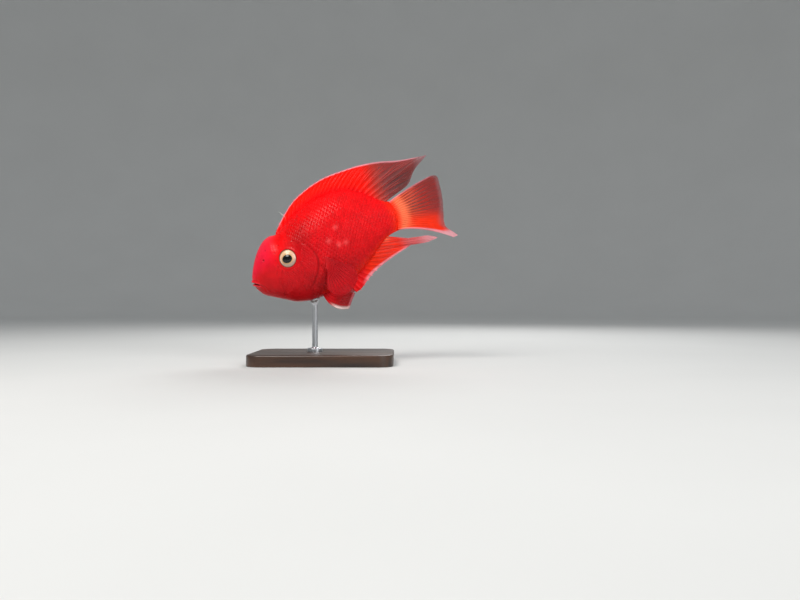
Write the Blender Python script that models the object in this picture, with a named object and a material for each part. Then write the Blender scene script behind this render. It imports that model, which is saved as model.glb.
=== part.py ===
# Blood parrot cichlid as a still, life-size model on a plain display stand.
# The fish is drawn level in its own frame, in millimetres: x runs from the snout to the tail,
# z up to the back and y to the right side. An empty then tips it head down over the stand.

import math

import bmesh
import bpy
import numpy as np
from mathutils import Matrix, Vector

MM = 0.001

# Pose and place of the fish over the stand
PITCH_DEG = 18.0
SNOUT_X = -57.4
SNOUT_Z = 68.0

# Gap kept between pieces that touch
GAP = 0.3

# Body, from the snout to the end of the tail stalk
SNOUT_STATION = -0.5
SNOUT_HEIGHT = -3.7
SNOUT_CAP = 0.02
NAPE = 28.0
CHEEK_END = 58.5
THROAT_END = 44.0
TRUNK_END = 110.0
STALK_END = 124.5
STALK_BULGE = 3.5
BODY_SIDES = 36
HEAD_RINGS = 15
HEAD_RING_POWER = 1.7
TRUNK_RINGS = 13
STALK_RINGS = 5
CUT_SLANT_GAP = 0.42

# Height of the back and of the belly, and half the width, at stations along the body
BACK = (
    (SNOUT_STATION, SNOUT_HEIGHT), (0.4, 0.2), (2.0, 4.2), (4.0, 8.2), (7.4, 14.0),
    (12.0, 20.0), (18.5, 25.6), (23.5, 27.3), (28.3, 27.0), (36.0, 31.2), (48.0, 38.4),
    (62.0, 43.8), (76.0, 46.4), (88.0, 45.8), (98.0, 42.2), (106.0, 37.0), (113.0, 31.0),
    (119.0, 26.2), (124.5, 23.9), (130.0, 23.4),
)
BELLY = (
    (SNOUT_STATION, SNOUT_HEIGHT), (0.3, -7.6), (2.6, -11.8), (7.2, -16.1), (14.5, -20.4),
    (21.5, -24.4), (29.0, -28.4), (37.0, -30.4), (50.0, -30.8), (60.0, -30.8), (70.0, -28.8),
    (80.0, -24.8), (90.0, -19.0), (100.0, -11.8), (108.0, -5.6), (115.0, -1.6), (124.5, 0.2),
    (130.0, 0.6),
)
HALF_WIDTH = (
    (SNOUT_STATION, 0.0), (0.3, 2.8), (2.6, 6.0), (6.6, 9.2), (11.4, 12.2), (18.7, 15.4),
    (28.0, 17.9), (40.0, 19.6), (54.0, 20.2), (68.0, 19.0), (82.0, 15.8), (95.0, 11.6),
    (106.0, 8.0), (115.0, 5.4), (122.0, 3.6), (130.0, 2.4),
)
# How lens-like the section is above and below its widest line: 1 is an ellipse
KEEL_ABOVE = ((SNOUT_STATION, 1.0), (20.0, 1.0), (45.0, 1.25), (90.0, 1.35), (130.0, 1.15))
KEEL_BELOW = ((SNOUT_STATION, 1.0), (30.0, 0.92), (60.0, 0.95), (90.0, 1.25), (130.0, 1.15))

# Eyes
EYE_AT = (34.0, 5.4)
EYE_HALF_LENGTH = 8.2
EYE_HALF_HEIGHT = 8.5
EYE_HALF_DEPTH = 4.2
EYE_SUNK = 2.6
EYE_OUTWARD = 1.0
PUPIL_RADIUS = 3.7
PUPIL_HALF_DEPTH = 1.0
PUPIL_SUNK = 0.55
PUPIL_SHIFT = (-0.5, -0.5)

# Mouth, lips and nostrils
MOUTH_HEIGHT = -4.8
MOUTH_SLOPE = -0.62
MOUTH_CORNER = 6.4
MOUTH_OPEN = 0.7
MOUTH_SHUT = 0.24
MOUTH_CUT = (-3.0, 6.0)
MOUTH_CUT_HALF_WIDTH = 14.0
LIP_RADIUS = 1.35
LIP_END_SHARE = 0.45
LIP_SUNK = 0.5
LIP_STEPS = 19
LIP_SIDES = 8
NOSTRIL_AT = (15.0, 9.0)
NOSTRIL_RADII = (1.2, 0.9, 1.0)

# Gill covers: the front edge, the rear edge and the plate
GILL_TOP = (46.0, 12.0)
GILL_FOOT = (37.5, -25.0)
GILL_FRONT_BOW = 1.5
GILL_REAR_BOW = 11.8
GILL_REAR_FULLNESS = 0.75
GILL_MARGIN = 2.0
GILL_BED_CLEARANCE = 4.0
GILL_LIFT_FRONT = 0.25
GILL_LIFT_REAR = 1.0
GILL_DEPTH = 1.6

# Stand
BASE_LENGTH = 112.0
BASE_DEPTH = 84.0
BASE_HEIGHT = 9.0
BASE_CORNER = 12.0
BASE_CHAMFER = 1.4
BASE_FOOT_CHAMFER = 0.5
ROD_STATION = 43.0
ROD_RADIUS = 2.2
ROD_PAD_RADIUS = 3.8
ROD_PAD_HEIGHT = 4.0
ROD_FOOT_RADIUS = 6.0
ROD_FOOT_HEIGHT = 3.0
ROD_EDGE = 0.8
ROD_NECK = 1.2
ROD_PAD_RIM = 0.8
ROD_SLANT_GAP = 0.1
ROD_SIDES = 20


# Curves through a few points

def smooth_curve(points, root=False):
    """A smooth function through points (x, value); root spaces them by the root of the way from
    the first point, which rounds the snout."""
    xs = np.array([p[0] for p in points], float)
    ys = np.array([p[1:] if len(p) > 2 else p[1] for p in points], float)
    if root:
        start = xs[0]
        xs = np.sqrt(xs - start)
    steps = np.diff(xs)
    slopes = np.diff(ys, axis=0) / (steps[:, None] if ys.ndim > 1 else steps)
    tangents = np.empty_like(ys)
    tangents[0] = slopes[0]
    tangents[-1] = slopes[-1]
    for i in range(1, len(xs) - 1):
        before = steps[i - 1]
        after = steps[i]
        tangents[i] = (slopes[i - 1] * after + slopes[i] * before) / (before + after)

    def value(x):
        at = math.sqrt(max(x - start, 0.0)) if root else x
        at = min(max(at, xs[0]), xs[-1])
        i = min(int(np.searchsorted(xs, at, side="right")) - 1, len(xs) - 2)
        width = steps[i]
        u = (at - xs[i]) / width
        return (
            (2 * u**3 - 3 * u**2 + 1) * ys[i]
            + (u**3 - 2 * u**2 + u) * width * tangents[i]
            + (3 * u**2 - 2 * u**3) * ys[i + 1]
            + (u**3 - u**2) * width * tangents[i + 1]
        )

    return value


back = smooth_curve(BACK, root=True)
belly = smooth_curve(BELLY, root=True)
half_width = smooth_curve(HALF_WIDTH, root=True)
keel_above = smooth_curve(KEEL_ABOVE)
keel_below = smooth_curve(KEEL_BELOW)


def eased(u):
    u = min(max(u, 0.0), 1.0)
    return u * u * (3 - 2 * u)


# The body surface

def body_point(s, angle):
    """Point of the skin at station s and angle round the section, 0 on the back."""
    top = back(s)
    bottom = belly(s)
    middle = (top + bottom) / 2
    half_height = (top - bottom) / 2
    c = math.cos(angle)
    sine = math.sin(angle)
    keel = keel_above(s) if c > 0 else keel_below(s)
    y = half_width(s) * math.copysign(abs(sine) ** keel, sine)
    return Vector((s, y, middle + half_height * c))


def side_at(s, height):
    """Distance of the skin from the middle plane at station s and this height."""
    middle = (back(s) + belly(s)) / 2
    half_height = (back(s) - belly(s)) / 2
    c = (height - middle) / max(half_height, 1e-6)
    if abs(c) >= 1:
        return 0.0
    keel = keel_above(s) if c > 0 else keel_below(s)
    return half_width(s) * math.sqrt(1 - c * c) ** keel


def height_at(s, y, below=True):
    """Height of the skin at station s and distance y from the middle plane."""
    middle = (back(s) + belly(s)) / 2
    half_height = (back(s) - belly(s)) / 2
    keel = keel_below(s) if below else keel_above(s)
    sine = min(abs(y) / half_width(s), 1.0) ** (1 / keel)
    rise = half_height * math.sqrt(1 - sine * sine)
    return middle - rise if below else middle + rise


def skin_normal(s, height, side):
    """Outward normal of the flank, side is -1 on the left and 1 on the right."""
    step = 0.4
    along = (side_at(s + step, height) - side_at(s - step, height)) / (2 * step)
    up = (side_at(s, height + step) - side_at(s, height - step)) / (2 * step)
    return Vector((-along, side, -up)).normalized()


def head_start(angle):
    return SNOUT_STATION + SNOUT_CAP


def head_end(angle):
    """Station where the head meets the trunk: the nape, the gill cover's edge and the throat."""
    turn = abs(math.degrees(angle))
    turn = 360 - turn if turn > 180 else turn
    if turn < 95:
        return NAPE + (CHEEK_END - NAPE) * eased(turn / 95)
    return CHEEK_END + (THROAT_END - CHEEK_END) * eased((turn - 95) / 85)


def trunk_end(angle):
    return TRUNK_END


def stalk_end(angle):
    """The tail stalk ends in a rounded edge where the tail fin grows."""
    return STALK_END + STALK_BULGE * math.sin(angle) ** 2


# Mesh helpers

def material(name, colour, roughness, metallic=0.0):
    made = bpy.data.materials.new(name)
    made.use_nodes = True
    shader = made.node_tree.nodes["Principled BSDF"]
    shader.inputs["Base Color"].default_value = (*colour, 1.0)
    shader.inputs["Roughness"].default_value = roughness
    shader.inputs["Metallic"].default_value = metallic
    made.diffuse_color = (*colour, 1.0)
    return made


def mesh_object(name, points, faces, finish=None, parent=None, sharp_deg=40):
    mesh = bpy.data.meshes.new(name)
    mesh.from_pydata([tuple(c * MM for c in p) for p in points], [], faces)
    mesh.validate()
    shape = bmesh.new()
    shape.from_mesh(mesh)
    bmesh.ops.recalc_face_normals(shape, faces=shape.faces)
    if shape.calc_volume(signed=True) < 0:
        bmesh.ops.reverse_faces(shape, faces=shape.faces)
    shape.to_mesh(mesh)
    shape.free()
    made = bpy.data.objects.new(name, mesh)
    bpy.context.scene.collection.objects.link(made)
    if finish:
        mesh.materials.append(finish)
    if parent:
        made.parent = parent
    smooth(mesh, sharp_deg)
    return made


def smooth(mesh, sharp_deg=40):
    mesh.polygons.foreach_set("use_smooth", [True] * len(mesh.polygons))
    mesh.set_sharp_from_angle(angle=math.radians(sharp_deg))


def loft(rings, close_start=True, close_end=True):
    """Points and faces of rings joined in order, with a fan on each closed end."""
    count = len(rings[0])
    points = [p for ring in rings for p in ring]
    faces = []
    for r in range(len(rings) - 1):
        for i in range(count):
            j = (i + 1) % count
            a = r * count + i
            b = r * count + j
            faces.append((a, b, b + count))
            faces.append((a, b + count, a + count))
    for closed, start, turned in ((close_start, 0, True), (close_end, len(rings) - 1, False)):
        if not closed:
            continue
        ring = rings[start]
        centre = sum((Vector(p) for p in ring), Vector()) / count
        points.append(centre)
        hub = len(points) - 1
        for i in range(count):
            a = start * count + i
            b = start * count + (i + 1) % count
            faces.append((b, a, hub) if turned else (a, b, hub))
    return points, faces


def join_or_cut(target, tool, operation):
    """Applies a Boolean to the target, removes the tool and keeps the largest closed surface."""
    boolean = target.modifiers.new("boolean", "BOOLEAN")
    boolean.operation = operation
    boolean.solver = "EXACT"
    boolean.object = tool
    bpy.context.view_layer.update()
    graph = bpy.context.evaluated_depsgraph_get()
    made = bpy.data.meshes.new_from_object(target.evaluated_get(graph))
    target.modifiers.clear()
    old = target.data
    target.data = made
    bpy.data.meshes.remove(old)
    bpy.data.objects.remove(tool)
    keep_largest(made)
    smooth(made)


def keep_largest(mesh):
    shape = bmesh.new()
    shape.from_mesh(mesh)
    bmesh.ops.triangulate(shape, faces=shape.faces)
    shape.verts.index_update()
    seen = set()
    groups = []
    for vert in shape.verts:
        if vert in seen:
            continue
        group = []
        queue = [vert]
        seen.add(vert)
        while queue:
            one = queue.pop()
            group.append(one)
            for edge in one.link_edges:
                other = edge.other_vert(one)
                if other not in seen:
                    seen.add(other)
                    queue.append(other)
        groups.append(group)
    groups.sort(key=len)
    loose = [v for group in groups[:-1] for v in group]
    bmesh.ops.delete(shape, geom=loose, context="VERTS")
    shape.to_mesh(mesh)
    shape.free()


def ellipsoid(centre, axes, radii, rings=12, sides=22):
    """Points and faces of an ellipsoid; axes are three unit vectors, the last is its pole."""
    points = []
    for r in range(1, rings):
        polar = math.pi * r / rings
        for i in range(sides):
            turn = 2 * math.pi * i / sides
            points.append(
                centre
                + axes[0] * radii[0] * math.sin(polar) * math.cos(turn)
                + axes[1] * radii[1] * math.sin(polar) * math.sin(turn)
                + axes[2] * radii[2] * math.cos(polar)
            )
    points.append(centre + axes[2] * radii[2])
    points.append(centre - axes[2] * radii[2])
    top = len(points) - 2
    foot = len(points) - 1
    faces = []
    for r in range(rings - 2):
        for i in range(sides):
            j = (i + 1) % sides
            a = r * sides + i
            b = r * sides + j
            faces.append((a, b, b + sides))
            faces.append((a, b + sides, a + sides))
    last = (rings - 2) * sides
    for i in range(sides):
        j = (i + 1) % sides
        faces.append((top, j, i))
        faces.append((foot, last + i, last + j))
    return points, faces


# Pieces of the body

def ring_of(station, sides=BODY_SIDES):
    return [
        body_point(station(2 * math.pi * i / sides), 2 * math.pi * i / sides)
        for i in range(sides)
    ]


def body_piece(name, start, end, rings, finish, parent, front_power=1.0):
    """A length of the body between two edges, each a station for every angle."""
    made = []
    for r in range(rings + 1):
        share = (r / rings) ** front_power
        made.append(ring_of(lambda angle, k=share: start(angle) + (end(angle) - start(angle)) * k))
    points, faces = loft(made)
    return mesh_object(name, points, faces, finish, parent)


def eye_axes(side):
    out = skin_normal(EYE_AT[0], EYE_AT[1], side)
    out = (out + Vector((0, side, 0)) * EYE_OUTWARD).normalized()
    along = Vector((1, 0, 0)) - out * out.x
    along.normalize()
    return along, out.cross(along).normalized(), out


def eye_centre(side):
    s, height = EYE_AT
    surface = Vector((s, side * side_at(s, height), height))
    return surface - eye_axes(side)[2] * EYE_SUNK


def eye_radii(more=0.0):
    return (EYE_HALF_LENGTH + more, EYE_HALF_HEIGHT + more, EYE_HALF_DEPTH + more)


def pupil_radii(more=0.0):
    return (PUPIL_RADIUS + more, PUPIL_RADIUS + more, PUPIL_HALF_DEPTH + more)


def pupil_place(side):
    along, up, out = eye_axes(side)
    up = up if up.z > 0 else -up
    centre = eye_centre(side) + along * PUPIL_SHIFT[0] + up * PUPIL_SHIFT[1]
    return centre + out * (EYE_HALF_DEPTH - PUPIL_SUNK), (along, up, out)


def mouth_line(count):
    """Points of the mouth line on the skin, from the left corner round the front to the right."""
    def height(s):
        return MOUTH_HEIGHT + MOUTH_SLOPE * s

    corner_side = side_at(MOUTH_CORNER, height(MOUTH_CORNER))
    points = []
    for i in range(count):
        q = -1 + 2 * i / (count - 1)
        side = abs(q) * corner_side
        low = SNOUT_STATION
        high = MOUTH_CORNER
        for _ in range(30):
            s = (low + high) / 2
            if side_at(s, height(s)) < side:
                low = s
            else:
                high = s
        s = (low + high) / 2
        points.append(Vector((s, math.copysign(side, q), height(s))))
    return points


def tube(path, radius, sides):
    """Points and faces of a closed tube along a path, with the radius given for each point."""
    rings = []
    turns = [2 * math.pi * k / sides for k in range(sides)]
    for i, at in enumerate(path):
        ahead = path[min(i + 1, len(path) - 1)] - path[max(i - 1, 0)]
        ahead.normalize()
        up = Vector((0, 0, 1))
        up = (up - ahead * up.dot(ahead)).normalized()
        out = ahead.cross(up)
        rings.append([at + (up * math.cos(a) + out * math.sin(a)) * radius[i] for a in turns])
    return loft(rings)


def gill_outline(v, rear):
    """Side-view place on the front or rear edge of the gill cover, v from its top to its foot."""
    s = GILL_TOP[0] + (GILL_FOOT[0] - GILL_TOP[0]) * v
    height = GILL_TOP[1] + (GILL_FOOT[1] - GILL_TOP[1]) * v
    bow = math.sin(math.pi * min(v, 1.0))
    if rear:
        return s + GILL_REAR_BOW * bow**GILL_REAR_FULLNESS + GILL_MARGIN, height
    return s - GILL_FRONT_BOW * bow, height


def gill_plate(side, more, lift_front, lift_rear, depth, across=7, down=12):
    """Points and faces of a plate laid on the cheek; more widens its outline."""
    outer = []
    inner = []
    beyond = more / math.dist(GILL_TOP, GILL_FOOT)
    for j in range(down + 1):
        v = -beyond + (1 + 2 * beyond) * j / down
        for i in range(across + 1):
            u = i / across
            front = gill_outline(max(min(v, 1.0), 0.0), False)
            rear = gill_outline(max(min(v, 1.0), 0.0), True)
            drop = GILL_TOP[1] + (GILL_FOOT[1] - GILL_TOP[1]) * v
            s = front[0] - more + (rear[0] - front[0] + 2 * more) * u
            normal = skin_normal(s, drop, side)
            at = Vector((s, side * side_at(s, drop), drop))
            outer.append(at + normal * (lift_front + (lift_rear - lift_front) * u**2))
            inner.append(at - normal * depth)
    return plate_mesh(outer, inner, across + 1, down + 1)


def plate_mesh(outer, inner, columns, rows):
    """Closed plate from two grids split into triangles alike on both faces."""
    points = outer + inner
    back_start = len(outer)
    faces = []
    for j in range(rows - 1):
        for i in range(columns - 1):
            a = j * columns + i
            b = a + 1
            c = a + columns + 1
            d = a + columns
            faces.append((a, b, c))
            faces.append((a, c, d))
            faces.append((back_start + a, back_start + c, back_start + b))
            faces.append((back_start + a, back_start + d, back_start + c))
    rim = [i for i in range(columns)]
    rim += [j * columns + columns - 1 for j in range(1, rows)]
    rim += [(rows - 1) * columns + i for i in range(columns - 2, -1, -1)]
    rim += [j * columns for j in range(rows - 2, 0, -1)]
    for k, a in enumerate(rim):
        b = rim[(k + 1) % len(rim)]
        faces.append((b, a, back_start + a))
        faces.append((b, back_start + a, back_start + b))
    return points, faces


# Fins

class Fin:
    """A fin with rays: root, bend and tip curves by share t along it, each a 3-D point."""

    def __init__(self, root, bend, tip, rays, membrane, ridge, flank, rows, proud=None):
        self.root = root
        self.bend = bend
        self.tip = tip
        self.rays = rays
        self.membrane = membrane
        self.ridge = ridge
        self.flank = flank
        self.rows = rows
        self.proud = proud or (lambda t: 0.0)

    def place(self, t, v, proud=0.0):
        root = Vector(self.root(t))
        bend = Vector(self.bend(t))
        tip = Vector(self.tip(t))
        at = root * (1 - v) ** 2 + bend * 2 * v * (1 - v) + tip * v * v
        if proud:
            at += (tip - bend).normalized() * proud * v**4
        return at

    def normal(self, t, v):
        step = 1e-3
        t0 = max(t - step, 0.0)
        t1 = min(t + step, 1.0)
        v0 = max(v - step, 0.0)
        v1 = min(v + step, 1.0)
        along = self.place(t1, v) - self.place(t0, v)
        out = self.place(t, v1) - self.place(t, v0)
        found = along.cross(out)
        if found.length < 1e-12:
            v0 = max(v - 0.05, 0.0)
            along = self.place(t1, v0) - self.place(t0, v0)
            found = along.cross(out)
        return found.normalized()

    def columns(self):
        """Shares along the fin with the ray that stands there, if any."""
        made = []
        for at in self.rays:
            made += [(at - self.flank, 0.0), (at, 1.0), (at + self.flank, 0.0)]
        made = [(min(max(t, 0.0), 1.0), ray) for t, ray in made]
        if self.rays and made[0][0] > 0.002:
            made = [(0.0, 0.0)] + made
        if self.rays and made[-1][0] < 0.998:
            made = made + [(1.0, 0.0)]
        kept = []
        for t, ray in made:
            if kept and t - kept[-1][0] < 1e-4:
                kept[-1] = (kept[-1][0], max(kept[-1][1], ray))
            else:
                kept.append((t, ray))
        return kept

    def mesh(self):
        columns = self.columns()
        one = []
        other = []
        for r in range(self.rows + 1):
            v = r / self.rows
            for t, ray in columns:
                at = self.place(t, v, self.proud(t) * ray)
                normal = self.normal(t, v)
                half = self.membrane(t, v) + ray * self.ridge(t, v)
                one.append(at + normal * half)
                other.append(at - normal * half)
        return plate_mesh(one, other, len(columns), self.rows + 1)


def ray_places(count, first=0.0, last=1.0):
    return [first + (last - first) * i / (count - 1) for i in range(count)]


def between(a, b, share):
    return a + (b - a) * share


# Median fins: stations of the roots, then the tips, by share along the fin.
# A HALF is half the thickness at the front of the root, at its rear and at the edge, a RIDGE
# how far a ray stands out at its root and tip, a BOW how far the rays bend off a straight
# line as a share of their length, and a WAVE the ripple's size, its start and its reach.

DORSAL_RAYS = 26
DORSAL_ROOTS = (
    (0.0, 28.8), (0.12, 41.0), (0.3, 58.0), (0.5, 77.0), (0.68, 94.0), (0.78, 102.0),
    (0.86, 108.5), (0.92, 113.5), (1.0, 119.8),
)
DORSAL_EDGE = (
    (0.0, 29.2, 28.6), (0.06, 35.2, 35.7), (0.14, 47.4, 46.4), (0.26, 63.0, 54.0),
    (0.38, 78.0, 57.8), (0.52, 95.0, 59.2), (0.66, 112.0, 58.9), (0.76, 128.0, 56.5),
    (0.82, 144.0, 52.7), (0.86, 163.0, 50.3),
)
DORSAL_REAR = (
    (0.86, 163.0, 50.3), (0.9, 151.0, 42.8), (0.95, 142.0, 32.8), (1.0, 131.4, 28.6),
)
DORSAL_TIP_SHARE = 0.86
DORSAL_HALF = (1.5, 0.9, 0.3)
DORSAL_RIDGE = (0.4, 0.14)
DORSAL_BOW = (-0.06, 0.1)
DORSAL_WAVE = (0.9, 100.0, 50.0)
SPINES_END = 0.62
SPINES_FADE = 0.1
SPINE_PROUD = 0.8
FREE_SPINE = ((41.2, 35.6), (39.0, 39.6), (36.7, 43.9))
FREE_SPINE_RADII = (0.8, 0.6, 0.22)

ANAL_RAYS = 15
ANAL_ROOTS = ((0.0, 72.0), (0.25, 82.0), (0.5, 93.0), (0.72, 102.0), (0.88, 108.0), (1.0, 112.6))
ANAL_EDGE = (
    (0.0, 75.8, -36.8), (0.08, 79.6, -35.6), (0.2, 86.4, -31.0), (0.38, 97.8, -24.3),
    (0.54, 113.0, -18.9), (0.63, 125.0, -14.3), (0.69, 132.5, -13.2), (0.75, 143.0, -16.0),
    (0.777, 151.8, -15.0),
)
ANAL_REAR = ((0.777, 151.8, -15.0), (0.85, 143.5, -10.9), (0.92, 133.0, -9.8), (1.0, 120.9, -4.7))
ANAL_TIP_SHARE = 0.777
ANAL_HALF = (1.4, 0.9, 0.3)
ANAL_RIDGE = (0.4, 0.14)
ANAL_BOW = (-0.05, 0.06)
ANAL_WAVE = (0.7, 100.0, 40.0)
ANAL_SPINES_END = 0.45

TAIL_RAYS = 17
TAIL_EDGE = (
    (0.0, 161.0, 33.8), (0.08, 165.0, 32.8), (0.25, 165.9, 24.5), (0.45, 164.4, 12.5),
    (0.65, 161.3, 0.5), (0.78, 160.0, -5.0), (0.86, 160.4, -9.4), (0.92, 163.3, -13.2),
    (0.98, 167.4, -18.4),
)
TAIL_FOOT = ((0.98, 167.4, -18.4), (1.0, 163.4, -18.9))
TAIL_TIP_SHARE = 0.98
TAIL_ROOT_SHARE = 0.96
TAIL_UPPER_LIFT = 2.1
TAIL_LOWER_LIFT = 6.6
TAIL_HALF = (1.5, 0.3)
TAIL_RIDGE = (0.3, 0.1)
TAIL_WAVE = (1.4, 135.0, 30.0)

# Waves of the ripple in the median fins, in radians for each millimetre along and up
RIPPLE_ALONG = 0.11
RIPPLE_UP = 0.09


def split_curve(first, second, share):
    one = smooth_curve(first)
    two = smooth_curve(second)
    return lambda t: one(t) if t <= share else two(t)


def wave(x, z, size, start, reach):
    """Gentle sideways ripple of a median fin, growing away from the body."""
    return size * eased((x - start) / reach) * math.sin(x * RIPPLE_ALONG + z * RIPPLE_UP)


def tapered(half, t, v):
    """Half the thickness of a median fin at share t along it and v of the way to its edge."""
    return between(between(half[0], half[1], eased(t)), half[2], eased(v * 1.15))


def bowed(root, tip, bow):
    """The bend of each ray, a little off the middle of the line from its root to its tip."""
    def bend(t):
        start = Vector(root(t))
        end = Vector(tip(t))
        way = end - start
        middle = between(start, end, 0.5)
        return middle.x + bow[0] * way.x, middle.y * 0.6, middle.z + bow[1] * way.z

    return bend


def dorsal_fin():
    roots = smooth_curve(DORSAL_ROOTS)
    edge = split_curve(DORSAL_EDGE, DORSAL_REAR, DORSAL_TIP_SHARE)

    def root(t):
        s = roots(t)
        return s, 0.0, back(s) + GAP

    def tip(t):
        x, z = edge(t)
        return x, wave(x, z, *DORSAL_WAVE), z

    return Fin(
        root, bowed(root, tip, DORSAL_BOW), tip, ray_places(DORSAL_RAYS, 0.012, 0.99),
        lambda t, v: tapered(DORSAL_HALF, t, v), lambda t, v: between(*DORSAL_RIDGE, v), 0.008, 8,
        lambda t: SPINE_PROUD * eased((SPINES_END - t) / SPINES_FADE),
    )


def anal_fin():
    roots = smooth_curve(ANAL_ROOTS)
    edge = split_curve(ANAL_EDGE, ANAL_REAR, ANAL_TIP_SHARE)

    def root(t):
        s = roots(t)
        return s, 0.0, belly(s) - GAP

    def tip(t):
        x, z = edge(t)
        return x, wave(x, z, *ANAL_WAVE), z

    return Fin(
        root, bowed(root, tip, ANAL_BOW), tip, ray_places(ANAL_RAYS, 0.015, 0.985),
        lambda t, v: tapered(ANAL_HALF, t, v), lambda t, v: between(*ANAL_RIDGE, v), 0.013, 7,
        lambda t: SPINE_PROUD * eased((ANAL_SPINES_END - t) / SPINES_FADE),
    )


def tail_fin():
    edge = split_curve(TAIL_EDGE, TAIL_FOOT, TAIL_TIP_SHARE)

    def root(t):
        c = TAIL_ROOT_SHARE * (1 - 2 * t)
        angle = math.acos(c)
        s = stalk_end(angle) + GAP + 0.1
        middle = (back(s) + belly(s)) / 2
        half_height = (back(s) - belly(s)) / 2
        return s, 0.0, middle + half_height * c

    def tip(t):
        x, z = edge(t)
        return x, wave(x, z, *TAIL_WAVE), z

    def bend(t):
        a = Vector(root(t))
        b = Vector(tip(t))
        middle = between(a, b, 0.5)
        lift = TAIL_LOWER_LIFT * eased((t - 0.45) / 0.55) + TAIL_UPPER_LIFT * eased(1 - 2 * t)
        return middle.x, middle.y * 0.5, middle.z + lift

    return Fin(
        root, bend, tip, ray_places(TAIL_RAYS, 0.02, 0.98),
        lambda t, v: between(*TAIL_HALF, eased(v * 1.3)),
        lambda t, v: between(*TAIL_RIDGE, v), 0.011, 8,
    )


# Paired fins

PELVIC_RAYS = 6
PELVIC_ROOT = (50.4, 57.0)
PELVIC_SIDE = 4.6
PELVIC_EDGE = (
    (0.0, 65.8, -47.4), (0.25, 68.3, -44.4), (0.5, 70.6, -41.4), (0.75, 72.8, -39.0),
    (1.0, 74.6, -36.6),
)
PELVIC_SPLAY = 3.2
PELVIC_BEND = (-4.4, -6.0)
PELVIC_HALF = (1.0, 0.6, 0.28)
PELVIC_RIDGE = (0.35, 0.12)
PELVIC_CLEARANCE = 0.35

PECTORAL_RAYS = 12
PECTORAL_ROOT = ((63.6, -3.2), (62.6, -12.2))
PECTORAL_EDGE = (
    (0.0, 81.5, -18.0), (0.2, 82.0, -25.5), (0.45, 76.5, -33.0), (0.7, 68.0, -36.4),
    (0.88, 60.5, -34.0), (1.0, 56.6, -28.0),
)
PECTORAL_FLARE = 5.0
PECTORAL_CUP = 3.6
PECTORAL_HALF = (0.9, 0.27)
PECTORAL_RIDGE = (0.25, 0.1)
PECTORAL_CLEARANCE = 0.75


def pelvic_fin(side):
    edge = smooth_curve(PELVIC_EDGE)

    def root(t):
        s = between(PELVIC_ROOT[0], PELVIC_ROOT[1], t)
        y = side * between(PELVIC_SIDE, PELVIC_SIDE + 1.2, t)
        return s, y, height_at(s, y) - GAP - PELVIC_CLEARANCE

    def tip(t):
        x, z = edge(t)
        return x, side * (PELVIC_SIDE + PELVIC_SPLAY * (1 - 0.3 * t)), z

    def bend(t):
        a = Vector(root(t))
        b = Vector(tip(t))
        middle = between(a, b, 0.45)
        bow = between(1.0, 0.1, t)
        return middle.x + PELVIC_BEND[0] * bow, middle.y, middle.z + PELVIC_BEND[1] * bow

    return Fin(
        root, bend, tip, ray_places(PELVIC_RAYS, 0.04, 0.96),
        lambda t, v: tapered(PELVIC_HALF, t, v), lambda t, v: between(*PELVIC_RIDGE, v), 0.035, 6,
    )


def pectoral_fin(side):
    edge = smooth_curve(PECTORAL_EDGE)

    def root(t):
        s = between(PECTORAL_ROOT[0][0], PECTORAL_ROOT[1][0], t)
        z = between(PECTORAL_ROOT[0][1], PECTORAL_ROOT[1][1], t)
        return s, side * (side_at(s, z) + GAP + PECTORAL_CLEARANCE), z

    def tip(t):
        x, z = edge(t)
        lie = side_at(60.0, -8.0) + PECTORAL_FLARE - 1.5 * abs(t - 0.5)
        return x, side * lie, z

    def bend(t):
        a = Vector(root(t))
        b = Vector(tip(t))
        middle = between(a, b, 0.4)
        return middle.x, side * (abs(a.y) + PECTORAL_CUP), middle.z

    return Fin(
        root, bend, tip, ray_places(PECTORAL_RAYS, 0.03, 0.97),
        lambda t, v: between(*PECTORAL_HALF, eased(v * 1.5)),
        lambda t, v: between(*PECTORAL_RIDGE, v), 0.016, 6,
    )


# Stand, drawn upright in the world frame

def rounded_ring(length, depth, corner, z, steps=5):
    ring = []
    for turn, cx, cy in (
        (0, length / 2 - corner, depth / 2 - corner),
        (90, -length / 2 + corner, depth / 2 - corner),
        (180, -length / 2 + corner, -depth / 2 + corner),
        (270, length / 2 - corner, -depth / 2 + corner),
    ):
        for k in range(steps + 1):
            angle = math.radians(turn + 90 * k / steps)
            ring.append(Vector((cx + corner * math.cos(angle), cy + corner * math.sin(angle), z)))
    return ring


def stand_base(finish):
    inset = BASE_CHAMFER
    small = BASE_FOOT_CHAMFER
    rings = [
        rounded_ring(BASE_LENGTH - 2 * small, BASE_DEPTH - 2 * small, BASE_CORNER - small, 0.0),
        rounded_ring(BASE_LENGTH, BASE_DEPTH, BASE_CORNER, small),
        rounded_ring(BASE_LENGTH, BASE_DEPTH, BASE_CORNER, BASE_HEIGHT - inset),
        rounded_ring(
            BASE_LENGTH - 2 * inset, BASE_DEPTH - 2 * inset, BASE_CORNER - inset, BASE_HEIGHT
        ),
    ]
    points, faces = loft(rings)
    return mesh_object("stand_base", points, faces, finish, sharp_deg=30)


def to_world(point, pose):
    return pose @ (Vector(point) * MM) / MM


def belly_above(x, y, pose):
    """Height in the world where the vertical line at x, y meets the underside of the body."""
    inverse = pose.inverted()
    low = BASE_HEIGHT
    high = SNOUT_Z + 20.0
    for _ in range(40):
        z = (low + high) / 2
        at = inverse @ (Vector((x, y, z)) * MM) / MM
        inside = belly(at.x) < at.z < back(at.x) and abs(at.y) < side_at(at.x, at.z)
        if inside:
            high = z
        else:
            low = z
    return low


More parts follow.
